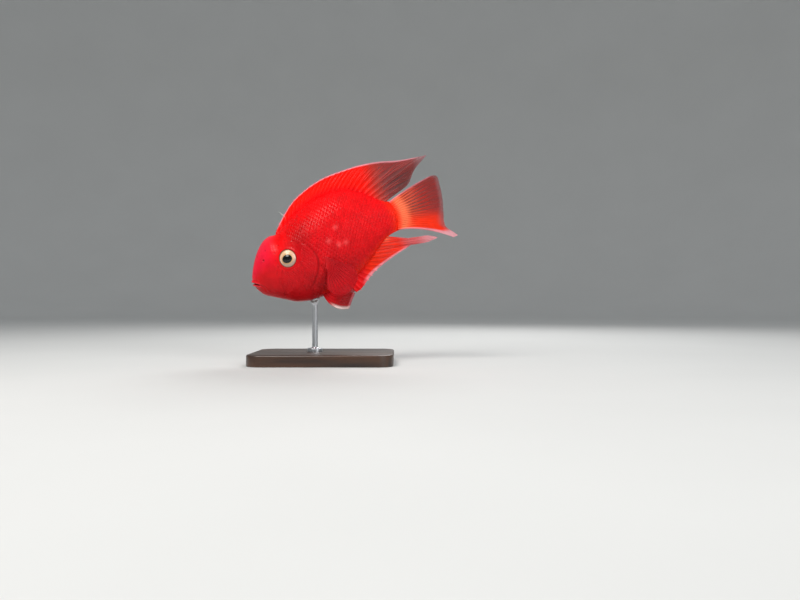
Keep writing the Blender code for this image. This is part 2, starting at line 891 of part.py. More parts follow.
def stand_rod(finish, pose):
    foot = to_world((ROD_STATION, 0.0, belly(ROD_STATION)), pose)
    floor = BASE_HEIGHT + GAP

    def ring(radius, height):
        made = []
        for k in range(ROD_SIDES):
            angle = 2 * math.pi * k / ROD_SIDES
            x = foot.x + radius * math.cos(angle)
            y = radius * math.sin(angle)
            made.append(Vector((x, y, height(x, y))))
        return made

    def under_belly(drop):
        return lambda x, y: belly_above(x, y, pose) - drop

    top = floor + ROD_FOOT_HEIGHT
    clear = GAP + ROD_SLANT_GAP
    rings = [
        ring(ROD_FOOT_RADIUS, lambda x, y: floor),
        ring(ROD_FOOT_RADIUS, lambda x, y: top - ROD_EDGE),
        ring(ROD_FOOT_RADIUS - ROD_EDGE, lambda x, y: top),
        ring(ROD_RADIUS + ROD_EDGE, lambda x, y: top),
        ring(ROD_RADIUS, lambda x, y: top + ROD_NECK),
        ring(ROD_RADIUS, lambda x, y: foot.z - ROD_PAD_HEIGHT - ROD_NECK),
        ring(ROD_PAD_RADIUS - ROD_EDGE, under_belly(clear + ROD_EDGE + ROD_PAD_RIM)),
        ring(ROD_PAD_RADIUS, under_belly(clear + ROD_PAD_RIM)),
        ring(ROD_PAD_RADIUS, under_belly(clear)),
        ring(ROD_PAD_RADIUS / 2, under_belly(clear)),
    ]
    points, faces = loft(rings)
    return mesh_object("stand_rod", points, faces, finish, sharp_deg=30)


def main():
    for obj in list(bpy.data.objects):
        bpy.data.objects.remove(obj)

    red = material("skin_red", (0.86, 0.03, 0.03), 0.35)
    cover_red = material("gill_cover_red", (0.8, 0.035, 0.035), 0.35)
    stalk_red = material("stalk_red", (0.88, 0.05, 0.03), 0.35)
    dorsal_red = material("dorsal_fin_red", (0.85, 0.09, 0.06), 0.4)
    tail_orange = material("tail_fin_orange", (0.88, 0.17, 0.06), 0.4)
    anal_orange = material("anal_fin_orange", (0.9, 0.12, 0.05), 0.4)
    pelvic_pink = material("pelvic_fin_pink", (0.85, 0.2, 0.18), 0.4)
    pectoral_pink = material("pectoral_fin_pink", (0.8, 0.2, 0.18), 0.4)
    iris = material("iris_cream", (0.9, 0.82, 0.6), 0.2)
    black = material("pupil_black", (0.01, 0.01, 0.012), 0.08)
    wood = material("stand_wood", (0.07, 0.04, 0.025), 0.45)
    steel = material("stand_steel", (0.6, 0.6, 0.6), 0.3, 1.0)

    fish = bpy.data.objects.new("fish_pose", None)
    bpy.context.scene.collection.objects.link(fish)
    fish.location = (SNOUT_X * MM, 0.0, SNOUT_Z * MM)
    fish.rotation_euler = (0.0, math.radians(-PITCH_DEG), 0.0)
    bpy.context.view_layer.update()
    pose = Matrix(fish.matrix_world)

    # Body in three lengths
    head = body_piece(
        "head", head_start, head_end, HEAD_RINGS, red, fish, front_power=HEAD_RING_POWER
    )
    body_piece(
        "trunk", lambda angle: head_end(angle) + CUT_SLANT_GAP, trunk_end, TRUNK_RINGS, red, fish
    )
    body_piece(
        "tail_stalk", lambda angle: trunk_end(angle) + GAP, stalk_end, STALK_RINGS, stalk_red, fish
    )

    # Lips, mouth, nostrils
    line = [at + Vector((LIP_SUNK, 0, 0)) for at in mouth_line(LIP_STEPS)]
    radius = [
        LIP_RADIUS * between(LIP_END_SHARE, 1.0, math.sin(math.pi * (i + 0.5) / LIP_STEPS))
        for i in range(LIP_STEPS)
    ]
    join_or_cut(head, mesh_object("lips", *tube(line, radius, LIP_SIDES), parent=fish), "UNION")
    slot = []
    for s, open_by in zip(MOUTH_CUT, (MOUTH_OPEN, MOUTH_SHUT)):
        z = MOUTH_HEIGHT + MOUTH_SLOPE * s
        low = z - open_by / 2
        high = z + open_by / 2
        reach = MOUTH_CUT_HALF_WIDTH
        slot.append([
            Vector((s, -reach, low)), Vector((s, reach, low)),
            Vector((s, reach, high)), Vector((s, -reach, high)),
        ])
    join_or_cut(head, mesh_object("mouth_slot", *loft(slot), parent=fish), "DIFFERENCE")
    for side in (-1, 1):
        s, z = NOSTRIL_AT
        normal = skin_normal(s, z, side)
        at = Vector((s, side * side_at(s, z), z))
        up = Vector((0, 0, 1)) - normal * normal.z
        up.normalize()
        pit = ellipsoid(at, (up, normal.cross(up), normal), NOSTRIL_RADII, 6, 10)
        join_or_cut(head, mesh_object("nostril", *pit, parent=fish), "DIFFERENCE")

    # Eyes in their sockets, each with its pupil
    for side, word in ((-1, "left"), (1, "right")):
        axes = eye_axes(side)
        centre = eye_centre(side)
        socket = ellipsoid(centre, axes, eye_radii(GAP))
        join_or_cut(head, mesh_object("socket", *socket, parent=fish), "DIFFERENCE")
        eye = mesh_object(
            "eye_" + word, *ellipsoid(centre, axes, eye_radii()), finish=iris, parent=fish
        )
        at, pupil_axes = pupil_place(side)
        pit = ellipsoid(at, pupil_axes, pupil_radii(GAP), 8, 18)
        join_or_cut(eye, mesh_object("pupil_pit", *pit, parent=fish), "DIFFERENCE")
        pupil = ellipsoid(at, pupil_axes, pupil_radii(), 8, 18)
        mesh_object("pupil_" + word, *pupil, finish=black, parent=fish)

    # Gill covers in shallow beds on the cheeks
    for side, word in ((-1, "left"), (1, "right")):
        bed = gill_plate(side, GAP, GILL_BED_CLEARANCE, GILL_BED_CLEARANCE, GILL_DEPTH + GAP)
        join_or_cut(head, mesh_object("gill_bed", *bed, parent=fish), "DIFFERENCE")
        plate = gill_plate(side, 0.0, GILL_LIFT_FRONT, GILL_LIFT_REAR, GILL_DEPTH)
        mesh_object("gill_cover_" + word, *plate, finish=cover_red, parent=fish)

    # Fins
    for name, fin, finish in (
        ("dorsal_fin", dorsal_fin(), dorsal_red),
        ("anal_fin", anal_fin(), anal_orange),
        ("tail_fin", tail_fin(), tail_orange),
        ("pelvic_fin_left", pelvic_fin(-1), pelvic_pink),
        ("pelvic_fin_right", pelvic_fin(1), pelvic_pink),
        ("pectoral_fin_left", pectoral_fin(-1), pectoral_pink),
        ("pectoral_fin_right", pectoral_fin(1), pectoral_pink),
    ):
        mesh_object(name, *fin.mesh(), finish=finish, parent=fish)

    # The foremost dorsal spine stands clear of the membrane
    spine_path = [Vector((s, 0, z)) for s, z in FREE_SPINE]
    spine = mesh_object("spine", *tube(spine_path, FREE_SPINE_RADII, 6), parent=fish)
    join_or_cut(bpy.data.objects["dorsal_fin"], spine, "UNION")

    stand_base(wood)
    stand_rod(steel, pose)


main()
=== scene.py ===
import math
from dataclasses import dataclass

import bpy
import numpy as np
from mathutils import Matrix, Vector


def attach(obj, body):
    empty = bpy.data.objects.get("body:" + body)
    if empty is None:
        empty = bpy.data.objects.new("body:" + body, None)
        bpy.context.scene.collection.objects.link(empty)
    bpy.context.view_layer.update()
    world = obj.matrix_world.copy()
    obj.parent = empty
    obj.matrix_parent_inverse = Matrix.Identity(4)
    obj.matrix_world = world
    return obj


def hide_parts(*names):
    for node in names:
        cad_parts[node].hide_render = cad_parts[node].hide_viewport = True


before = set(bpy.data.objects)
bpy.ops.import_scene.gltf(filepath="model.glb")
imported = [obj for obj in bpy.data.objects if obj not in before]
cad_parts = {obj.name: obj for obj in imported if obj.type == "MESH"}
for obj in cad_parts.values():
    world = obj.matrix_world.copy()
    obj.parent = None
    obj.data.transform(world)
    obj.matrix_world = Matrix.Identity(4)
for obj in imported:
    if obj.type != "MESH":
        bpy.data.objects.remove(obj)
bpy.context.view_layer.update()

MM = 0.001
SEED = 7

# Pose and place of the fish over the stand
PITCH_DEG = 18.0
TILT = np.array(Matrix.Rotation(math.radians(-PITCH_DEG), 3, "Y"))
PLACE = (-57.4, 0.0, 68.0)

# Body, from the snout to the end of the tail stalk
SNOUT_STATION = -0.5
SNOUT_HEIGHT = -3.7
STALK_END = 124.5
STALK_BULGE = 3.5
BACK = (
    (SNOUT_STATION, SNOUT_HEIGHT), (0.4, 0.2), (2.0, 4.2), (4.0, 8.2), (7.4, 14.0),
    (12.0, 20.0), (18.5, 25.6), (23.5, 27.3), (28.3, 27.0), (36.0, 31.2), (48.0, 38.4),
    (62.0, 43.8), (76.0, 46.4), (88.0, 45.8), (98.0, 42.2), (106.0, 37.0), (113.0, 31.0),
    (119.0, 26.2), (124.5, 23.9), (130.0, 23.4),
)
BELLY = (
    (SNOUT_STATION, SNOUT_HEIGHT), (0.3, -7.6), (2.6, -11.8), (7.2, -16.1), (14.5, -20.4),
    (21.5, -24.4), (29.0, -28.4), (37.0, -30.4), (50.0, -30.8), (60.0, -30.8), (70.0, -28.8),
    (80.0, -24.8), (90.0, -19.0), (100.0, -11.8), (108.0, -5.6), (115.0, -1.6), (124.5, 0.2),
    (130.0, 0.6),
)
HALF_WIDTH = (
    (SNOUT_STATION, 0.0), (0.3, 2.8), (2.6, 6.0), (6.6, 9.2), (11.4, 12.2), (18.7, 15.4),
    (28.0, 17.9), (40.0, 19.6), (54.0, 20.2), (68.0, 19.0), (82.0, 15.8), (95.0, 11.6),
    (106.0, 8.0), (115.0, 5.4), (122.0, 3.6), (130.0, 2.4),
)
KEEL_ABOVE = ((SNOUT_STATION, 1.0), (20.0, 1.0), (45.0, 1.25), (90.0, 1.35), (130.0, 1.15))
KEEL_BELOW = ((SNOUT_STATION, 1.0), (30.0, 0.92), (60.0, 0.95), (90.0, 1.25), (130.0, 1.15))

# Skin: spacing of its rings on the head and behind it, points round a ring, and gentle waves
HEAD_SPACING = 0.36
TRUNK_SPACING = 0.9
SKIN_SIDES = 360
SKIN_SWELL = 0.035

# Eyes
EYE_AT = (34.35, 4.2)
EYE_HALF = (8.2, 8.5, 4.2)
EYE_SUNK = 2.6
EYE_OUTWARD = 1.0
PUPIL_HALF = (0.48, 0.39)
PUPIL_SHIFT = (-0.04, -0.04)
EYE_OPENING = 0.835
EYE_RINGS = 96
EYE_SIDES = 128

# Mouth and nostrils
MOUTH_HEIGHT = -4.8
MOUTH_SLOPE = -0.62
MOUTH_CORNER = 5.0
LIP_RISE = 0.85
MOUTH_DEPTH = 2.3
THROAT_FULL = 0.8
JAW_CREASE = ((5.0, -7.9), (7.4, -9.6), (9.4, -12.4), (10.2, -15.6))
NOSTRIL_AT = (15.0, 9.0)

# Pores of the head: round the eye, along the jaw and down the bend of the cheek
PORES = (
    (25.5, 0.5), (27.4, -3.6), (31.0, -6.2), (35.4, -6.9), (39.8, -5.4), (43.0, -1.6),
    (24.6, 5.6), (25.6, 11.4), (29.6, 16.6), (35.6, 18.8), (41.6, 16.4), (12.4, -14.6),
    (17.2, -17.6), (22.4, -20.6), (28.4, -23.6), (34.0, -24.0), (39.4, -19.6), (43.4, -14.0),
    (45.2, -7.4), (45.6, 0.0), (10.6, 13.6), (18.6, 16.0),
)

# Gill covers
GILL_TOP = (46.0, 12.0)
GILL_FOOT = (37.5, -25.0)
GILL_FRONT_BOW = 1.5
GILL_REAR_BOW = 11.8
GILL_MARGIN = 2.0
CHEEK_CREASE = ((43.0, 9.0), (44.6, -2.0), (42.6, -12.0), (37.0, -19.0), (29.0, -22.0))

# Stand
BASE_HALF = (56.0, 42.0)
BASE_HEIGHT = 9.0
BASE_CORNER = 12.0
BASE_EDGE = 1.4
ROD_STATION = 43.0
ROD_HALF = 2.2
ROD_FILLET = 1.4
FOOT_HALF = 6.0
FOOT_HEIGHT = 2.3
FOOT_EDGE = 0.8

# Scales: distance along a row and between rows, the lift of a scale's free edge, their size
# along the body, and the length and patch that lay their colours out on the OFBake map
SCALE_ALONG = 3.1
SCALE_PITCH = 2.5
SCALE_LIFT = 0.16
SCALE_THICKNESS = 0.22
CHEEK_SCALE = 0.62
CHEEK_SCALE_LIFT = 0.09
SCALE_GROWTH = ((18, 0.74), (45, 0.95), (70, 1.0), (95, 0.92), (128, 0.7))
OFBAKE_LENGTH = 130
OFBAKE_PATCH = 0.003


def srgb(red, green, blue):
    """A display colour from 0 to 255 as the linear values that a shader takes."""
    shown = np.array((red, green, blue), float) / 255
    return np.where(shown <= 0.04045, shown / 12.92, ((shown + 0.055) / 1.055) ** 2.4)


# Colours of the fish
# The reds lighten towards the back and darken towards the belly and the lower head, partly the
# fish's own tone and partly painted light from above and painted shade below
RED_BACK = srgb(246, 4, 10)
RED_FLANK = srgb(222, 14, 24)
RED_REAR = srgb(244, 18, 24)
RED_BELLY = srgb(186, 20, 26)
RED_CHEEK = srgb(206, 16, 24)
PELVIC_RED = srgb(208, 22, 30)
PELVIC_WHITE = srgb(255, 234, 228)
# Rose of the brow, partly the fish's own tint and partly a painted sheen, and a painted highlight
# along the brow's ridge
ROSE_BROW = srgb(240, 34, 72)
ROSE_RIM_SHEEN = srgb(240, 92, 112)
LIP = srgb(228, 58, 70)
PINK_EDGE = srgb(242, 156, 168)
WHITE_EDGE = srgb(250, 206, 204)
ORANGE = srgb(255, 44, 12)
TAIL_ORANGE = srgb(255, 50, 12)
PEACH = srgb(255, 118, 78)
DUSKY = srgb(158, 44, 42)
TAIL_DUSKY = srgb(160, 30, 24)
DUSKY_DARK = srgb(92, 30, 30)
DUSKY_RED = srgb(190, 56, 44)
SMOKE = srgb(138, 96, 98)
CREAM = srgb(232, 188, 164)
IRIS_TOP = srgb(226, 184, 138)
GOLD = srgb(206, 160, 86)
BLACK = srgb(6, 6, 8)
# Painted shade in the sunken socket round each eye
SOCKET_SHADE = srgb(110, 26, 22)
DORSAL_RED = srgb(255, 14, 0)
RUST = srgb(226, 40, 28)
TAIL_RED = srgb(206, 42, 22)
DUSKY_RAY = srgb(172, 62, 56)
DUSKY_ROSE = srgb(176, 52, 54)
FAN_RED = srgb(186, 14, 24)
FAN_RAY = srgb(206, 40, 48)
FILAMENT = srgb(218, 96, 98)
ROSE_TIP = srgb(230, 164, 172)
ASH = srgb(150, 112, 116)
# Painted shade in the folds of the fins between their rays
PLEAT_SHADE = srgb(84, 14, 12)
EYE_SHADE = srgb(162, 140, 126)
EYE_RIM = srgb(120, 60, 40)
SPINE_GREY = srgb(168, 176, 170)
# Painted highlight of a few scales on the left flank
PINK_GLINT = srgb(255, 92, 92)
SHADOW = 0.0

# Pale pink spots on the left flank: painted highlights of scales that catch the light
GLINT_SPOTS = ((76.7, 16.1), (68.7, 7.2), (75.3, 2.4), (81.0, 2.5))


# Curves and small helpers

def curve(points, root=False):
    """A smooth function through points (x, value...); root spaces them by the root of the way
    from the first point, which rounds the snout."""
    table = np.array(points, float)
    start = table[0, 0]
    xs = np.sqrt(table[:, 0] - start) if root else table[:, 0]
    ys = table[:, 1:]
    steps = np.diff(xs)
    slopes = np.diff(ys, axis=0) / steps[:, None]
    tangents = np.empty_like(ys)
    tangents[0] = slopes[0]
    tangents[-1] = slopes[-1]
    share = (steps[:-1] / (steps[:-1] + steps[1:]))[:, None]
    tangents[1:-1] = slopes[:-1] * (1 - share) + slopes[1:] * share

    def value(x):
        x = np.asarray(x, float)
        at = np.sqrt(np.maximum(x - start, 0.0)) if root else x
        at = np.clip(at, xs[0], xs[-1])
        i = np.clip(np.searchsorted(xs, at, side="right") - 1, 0, len(xs) - 2)
        wide = steps[i][..., None]
        u = (at - xs[i])[..., None] / wide
        found = (2 * u**3 - 3 * u**2 + 1) * ys[i] + (3 * u**2 - 2 * u**3) * ys[i + 1]
        found += ((u**3 - 2 * u**2 + u) * tangents[i] + (u**3 - u**2) * tangents[i + 1]) * wide
        return found[..., 0] if ys.shape[1] == 1 else found

    return value


back = curve(BACK, root=True)
belly = curve(BELLY, root=True)
half_width = curve(HALF_WIDTH, root=True)
keel_above = curve(KEEL_ABOVE)
keel_below = curve(KEEL_BELOW)


def along_line(points, count):
    """Places spread along a smooth line through points."""
    return curve([(i, *p) for i, p in enumerate(points)])(np.linspace(0, len(points) - 1, count))


def settle(u):
    """Eases from 0 to 1."""
    u = np.clip(u, 0.0, 1.0)
    return u * u * (3 - 2 * u)


def mix(a, b, share):
    return a + (b - a) * np.asarray(share, float)[..., None]


def paint(colour, *coats):
    """The colour under coats in turn, each given as a colour and its share."""
    for coat, share in coats:
        colour = mix(colour, coat, share)
    return colour


def bump(distance, width):
    """A hump that is 1 at no distance and fades over the width."""
    return np.exp(-((distance / width) ** 2))


def arch(v):
    """Rises from 0 at either end of a share to 1 in the middle."""
    return np.sin(math.pi * np.clip(v, 0, 1))


def full_turn(count):
    """Angles evenly spaced round a circle."""
    return 2 * math.pi * np.arange(count) / count


def section(s):
    """Height of the middle of the section at station s, and half its height."""
    top = back(s)
    bottom = belly(s)
    return (top + bottom) / 2, (top - bottom) / 2


def body_place(s, angle):
    """Places on the body at stations s and angles round the section, 0 on the back."""
    middle, half = section(s)
    c = np.cos(angle)
    sine = np.sin(angle)
    keel = np.where(c > 0, keel_above(s), keel_below(s))
    y = half_width(s) * np.sign(sine) * np.abs(sine) ** keel
    return np.stack([s + 0 * y, y, middle + half * c], -1)


def side_at(s, h):
    """Distance of the skin from the middle plane at station s and height h."""
    middle, half = section(s)
    c = np.clip((h - middle) / np.maximum(half, 1e-6), -1, 1)
    keel = np.where(c > 0, keel_above(s), keel_below(s))
    return half_width(s) * np.sqrt(1 - c * c) ** keel


def flank_normal(s, h, side):
    step = 0.4
    along = (side_at(s + step, h) - side_at(s - step, h)) / (2 * step)
    up = (side_at(s, h + step) - side_at(s, h - step)) / (2 * step)
    return Vector((-along, side, -up)).normalized()


def to_world(points):
    return (points @ TILT.T + PLACE) * MM


def from_world(points):
    return (points - PLACE) @ TILT


def unit(vectors):
    return vectors / np.maximum(np.linalg.norm(vectors, axis=-1, keepdims=True), 1e-9)


# Meshes

def grid_faces(rows, columns, wrap=False):
    """Quads of a grid of points in row order; wrap joins the last column to the first."""
    r = np.arange(rows - 1)[:, None] * columns
    c = np.arange(columns if wrap else columns - 1)[None, :]
    after = (c + 1) % columns
    return np.stack([r + c, r + after, r + after + columns, r + c + columns], -1).reshape(-1, 4)


def plate(outer, inner):
    """Points and faces of a closed plate between two grids of the same size."""
    rows, columns = outer.shape[:2]
    count = rows * columns
    top = grid_faces(rows, columns)
    index = np.arange(count).reshape(rows, columns)
    rim = np.concatenate([index[0], index[1:, -1], index[-1, -2::-1], index[-2:0:-1, 0]])
    after = np.roll(rim, -1)
    side = np.stack([after, rim, rim + count, after + count], -1)
    points = np.concatenate([outer.reshape(-1, 3), inner.reshape(-1, 3)])
    return points, np.concatenate([top, top[:, ::-1] + count, side])


def add(name, data):
    made = bpy.data.objects.new(name, data)
    bpy.context.scene.collection.objects.link(made)
    return made


def smooth_mesh(name, points, faces, finish):
    mesh = bpy.data.meshes.new(name)
    mesh.from_pydata(points, [], faces)
    mesh.polygons.foreach_set("use_smooth", [True] * len(mesh.polygons))
    mesh.materials.append(finish)
    return add(name, mesh)


def piece(name, points, faces, finish, tint=None):
    """A mesh from places in the fish's frame and groups of faces; tint is a colour, and perhaps
    an opacity, for each point."""
    a, b, c = (points[faces[0][:, i]] - points.mean(0) for i in range(3))
    if (a * np.cross(b, c)).sum() < 0:
        faces = [group[:, ::-1] for group in faces]
    corners = [face for group in faces for face in group.tolist()]
    made = smooth_mesh(name, to_world(points).tolist(), corners, finish)
    if tint is not None:
        if tint.shape[-1] == 3:
            tint = np.concatenate([tint, np.ones((len(tint), 1))], -1)
        layer = made.data.color_attributes.new("tint", "FLOAT_COLOR", "POINT")
        layer.data.foreach_set("color", tint.astype(np.float32).ravel())
    return made


def tube(name, grid, ends, finish, tint=None):
    """A closed piece through a grid of rings, with a point that closes each end."""
    rings, sides = grid.shape[:2]
    ring = np.arange(sides)
    after = (ring + 1) % sides
    last = (rings - 1) * sides
    first_cap = np.stack([after, ring, 0 * ring + rings * sides], -1)
    last_cap = np.stack([last + ring, last + after, 0 * ring + rings * sides + 1], -1)
    faces = (grid_faces(rings, sides, wrap=True), first_cap, last_cap)
    return piece(name, np.concatenate([grid.reshape(-1, 3), ends]), faces, finish, tint)


# Materials

def blank(name):
    made = bpy.data.materials.new(name)
    made.use_nodes = True
    tree = made.node_tree
    return made, tree, tree.nodes["Principled BSDF"]


def give(node, values):
    """Sets the node's sockets, each to a value or to the output of another node."""
    for name, value in values.items():
        socket = node.inputs[name]
        if isinstance(value, bpy.types.NodeSocket):
            node.id_data.links.new(value, socket)
        else:
            socket.default_value = value


def shader_node(tree, kind, values):
    made = tree.nodes.new("ShaderNode" + kind)
    give(made, values)
    return made


def noise(tree, scale, detail=3.0, stretch=(1, 1, 1)):
    """Noise in the row frame; scale counts features in a metre."""
    place = tree.nodes.new("ShaderNodeTexCoord").outputs["Object"]
    turned = shader_node(tree, "Mapping", {"Vector": place, "Scale": stretch}).outputs["Vector"]
    values = {"Vector": turned, "Scale": scale, "Detail": detail}
    return shader_node(tree, "TexNoise", values).outputs["Fac"]


def remap(tree, value, low, high):
    """Noise, which mostly lies between 0.3 and 0.7, spread from low to high."""
    values = {"Value": value, "From Min": 0.3, "From Max": 0.7, "To Min": low, "To Max": high}
    return shader_node(tree, "MapRange", values).outputs["Result"]


def product(tree, colour, value):
    """The colour made lighter or darker by a value."""
    made = tree.nodes.new("ShaderNodeVectorMath")
    made.operation = "SCALE"
    give(made, {0: colour, "Scale": value})
    return made.outputs["Vector"]


def relief(tree, value, height):
    """The normal of a surface that a value raises by up to a height in millimetres."""
    made = shader_node(tree, "Bump", {"Height": value, "Distance": height * MM, "Strength": 1.0})
    return made.outputs["Normal"]


def wet_skin(name, roughness, gloss, coat, grain, soft):
    """Skin, fin or eye with its colour from the tint of each point, mottled and wet."""
    made, tree, shader = blank(name)
    tint = tree.nodes.new("ShaderNodeAttribute")
    tint.attribute_name = "tint"
    mottle = remap(tree, noise(tree, 150, 4.0), 0.89, 1.08)
    give(shader, {
        "Base Color": product(tree, tint.outputs["Color"], mottle),
        "Alpha": tint.outputs["Alpha"],
        "Roughness": remap(tree, noise(tree, 700), roughness * 0.85, roughness * 1.2),
        "Specular IOR Level": gloss,
        "Coat Weight": coat,
        "Coat Roughness": 0.16,
        "Subsurface Weight": soft,
        "Subsurface Radius": (1.0, 0.25, 0.15),
        "Subsurface Scale": 1.2 * MM,
        "Normal": relief(tree, noise(tree, 2600, 2.0), grain),
    })
    return made


def dark_wood():
    made, tree, shader = blank("dark_wood")
    grain = noise(tree, 90, 6.0, (0.12, 1.6, 1.0))
    ramp = shader_node(tree, "ValToRGB", {"Fac": grain})
    dark, light = ramp.color_ramp.elements
    dark.position, light.position = 0.32, 0.68
    dark.color = (*srgb(34, 20, 13), 1)
    light.color = (*srgb(84, 54, 35), 1)
    give(shader, {
        "Base Color": ramp.outputs["Color"],
        "Roughness": remap(tree, grain, 0.5, 0.34),
        "Coat Weight": 0.35,
        "Coat Roughness": 0.25,
        "Normal": relief(tree, grain, 0.12),
    })
    return made


def brushed_steel():
    made, tree, shader = blank("brushed_steel")
    lines = noise(tree, 1500, 2.0, (1.0, 1.0, 0.03))
    give(shader, {
        "Base Color": (*srgb(196, 198, 202), 1),
        "Metallic": 1.0,
        "Roughness": remap(tree, lines, 0.22, 0.4),
        "Normal": relief(tree, lines, 0.02),
    })
    return made


def studio_floor():
    made, tree, shader = blank("studio_floor")
    tone = remap(tree, noise(tree, 6), 0.97, 1.0)
    colour = tree.nodes.new("ShaderNodeRGB").outputs[0]
    colour.default_value = (*srgb(214, 214, 212), 1)
    give(shader, {"Base Color": product(tree, colour, tone), "Roughness": 0.9})
    return made


# Skin

def ring_stations():
    """Stations of the skin's rings, evenly spaced over the surface and closer on the head."""
    reach = STALK_END - SNOUT_STATION
    fine = SNOUT_STATION + reach * np.linspace(0, 1, 6000) ** 3
    drawn = np.stack([fine, back(fine), belly(fine), half_width(fine)], -1)
    way = np.diff(drawn, axis=0)
    length = np.sqrt(way[:, 0] ** 2 + (way[:, 1:] ** 2).sum(-1) / 3)
    spacing = HEAD_SPACING + (TRUNK_SPACING - HEAD_SPACING) * settle((fine[1:] - 45) / 20)
    count = np.concatenate([[0], np.cumsum(length / spacing)])
    rings = int(count[-1])
    return np.interp(np.linspace(0.35, count[-1], rings), count, fine)


def eye_axes(side):
    out = flank_normal(EYE_AT[0], EYE_AT[1], side)
    out = (out + Vector((0, side, 0)) * EYE_OUTWARD).normalized()
    along = (Vector((1, 0, 0)) - out * out.x).normalized()
    up = out.cross(along).normalized()
    up = up if up.z > 0 else -up
    return np.array(along), np.array(up), np.array(out)


def eye_centre(side):
    s, h = EYE_AT
    return np.array((s, side * float(side_at(s, h)), h)) - eye_axes(side)[2] * EYE_SUNK


def eye_share(places, side):
    """Distance from the eye's axis as a share of the eye's own half size."""
    along, up, _ = eye_axes(side)
    way = places - eye_centre(side)
    share = np.hypot(way @ along / EYE_HALF[0], way @ up / EYE_HALF[1])
    return np.where(places[..., 1] * side > 0, share, 9.0)


def gill_edges(h):
    """Stations of the gill cover's front and rear edge at height h, and the share down it."""
    v = (GILL_TOP[1] - h) / (GILL_TOP[1] - GILL_FOOT[1])
    line = GILL_TOP[0] + (GILL_FOOT[0] - GILL_TOP[0]) * v
    bow = arch(v)
    return line - GILL_FRONT_BOW * bow, line + GILL_REAR_BOW * bow**0.75 + GILL_MARGIN, v


def mouth_distance(places):
    """Distance from the mouth line, negative under it, and the share of the way to its corner."""
    s = SNOUT_STATION + (MOUTH_CORNER - SNOUT_STATION) * np.linspace(0, 1, 90) ** 2
    h = MOUTH_HEIGHT + MOUTH_SLOPE * s
    y = side_at(s, h)
    line = np.concatenate([np.stack([s, y, h], -1), np.stack([s, -y, h], -1)])
    found = np.full(places.shape[:-1], 99.0)
    share = np.ones(places.shape[:-1])
    near = places[..., 0] < 3 * MOUTH_CORNER
    way = np.linalg.norm(places[near][:, None] - line[None], axis=-1)
    found[near] = way.min(1)
    share[near] = line[way.argmin(1), 0] / MOUTH_CORNER
    under = places[..., 2] < MOUTH_HEIGHT + MOUTH_SLOPE * places[..., 0]
    return np.where(under, -found, found), np.clip(share, 0, 1)


def crease_distance(s, h, points):
    """Side-view distance from a line through points, positive behind it."""
    way = along_line(points, 60)
    apart = np.hypot(s[..., None] - way[:, 0], h[..., None] - way[:, 1])
    nearest = apart.argmin(-1)
    return np.where(s > way[nearest, 0], 1, -1) * apart.min(-1)


def pore_distance(s, h):
    """Side-view distance from the nearest pore of the head."""
    return np.minimum.reduce([np.hypot(s - at[0], h - at[1]) for at in PORES])


def nostril_distance(places, side):
    at = (NOSTRIL_AT[0], side * float(side_at(*NOSTRIL_AT)), NOSTRIL_AT[1])
    return np.linalg.norm(places - at, axis=-1)


def level_at(s, h):
    """Height on the body as a share of the way from the belly to the back."""
    return (h - belly(s)) / np.maximum(back(s) - belly(s), 0.5)


def skin_rise(places):
    """How far the skin stands out from the plain body: lips, sockets, nostrils, gill covers,
    creases and the pads that carry the fins."""
    s, y, h = np.moveaxis(places, -1, 0)
    apart, share = mouth_distance(places)
    lip = LIP_RISE * (1 - 0.5 * share) * settle((MOUTH_CORNER + 2.2 - s) / 3)
    rise = lip * (bump(np.abs(apart) - 1.35, 0.95) - 0.3 * bump(np.abs(apart) - 3.2, 0.6))
    gape = bump(apart, 0.34 + 0.3 * (1 - share)) * settle((MOUTH_CORNER + 1 - s) / 2)
    rise -= MOUTH_DEPTH * (1 - 0.6 * share) * gape

    jaw = crease_distance(s, h, JAW_CREASE)
    fold = 0.2 * bump(jaw - 1.3, 0.9) - 0.35 * bump(jaw, 0.6)
    flank = fold * settle((h + 16.5) / 3) * (s < 14)
    flank -= 0.3 * bump(pore_distance(s, h), 0.38)
    front, rear, v = gill_edges(h)
    across = (s - front) / (rear - front)
    lift = (0.25 + 0.75 * np.clip(across, 0, 1) ** 2) * settle(across / 0.12 + 0.5)
    lift = lift * settle((rear - s) / 0.7) - 0.3 * bump(s - rear - 0.7, 0.6)
    flank += arch(v) ** 0.5 * lift
    crease = crease_distance(s, h, CHEEK_CREASE)
    flank += (0.22 * settle(0.5 - crease / 1.2) - 0.12) * bump(crease, 3.0)
    flank += 0.9 * settle(1.35 - np.hypot((s - 61.8) / 3.4, (h + 7.4) / 6.2))
    rise += flank * settle((np.abs(y) - 1) / 3)

    for side in (-1, 1):
        share = eye_share(places, side)
        rise += 0.4 * bump(share - EYE_OPENING - 0.08, 0.09)
        rise -= 2.1 * settle((EYE_OPENING - share) / 0.12)
        apart = nostril_distance(places, side)
        rise += 0.28 * bump(apart - 1.35, 0.5) - 0.9 * bump(apart, 0.75)

    throat = settle((s - 1.5) / 5) * settle((58 - s) / 10)
    rise += THROAT_FULL * throat * settle(1 - level_at(s, h) / 0.35)
    swell = np.sin(1.2 * h - 0.8 * s + 0.9 * np.sin(0.6 * s))
    return rise + SKIN_SWELL * swell * np.sin(1.7 * s + 1.1 * h + 0.4 * y)


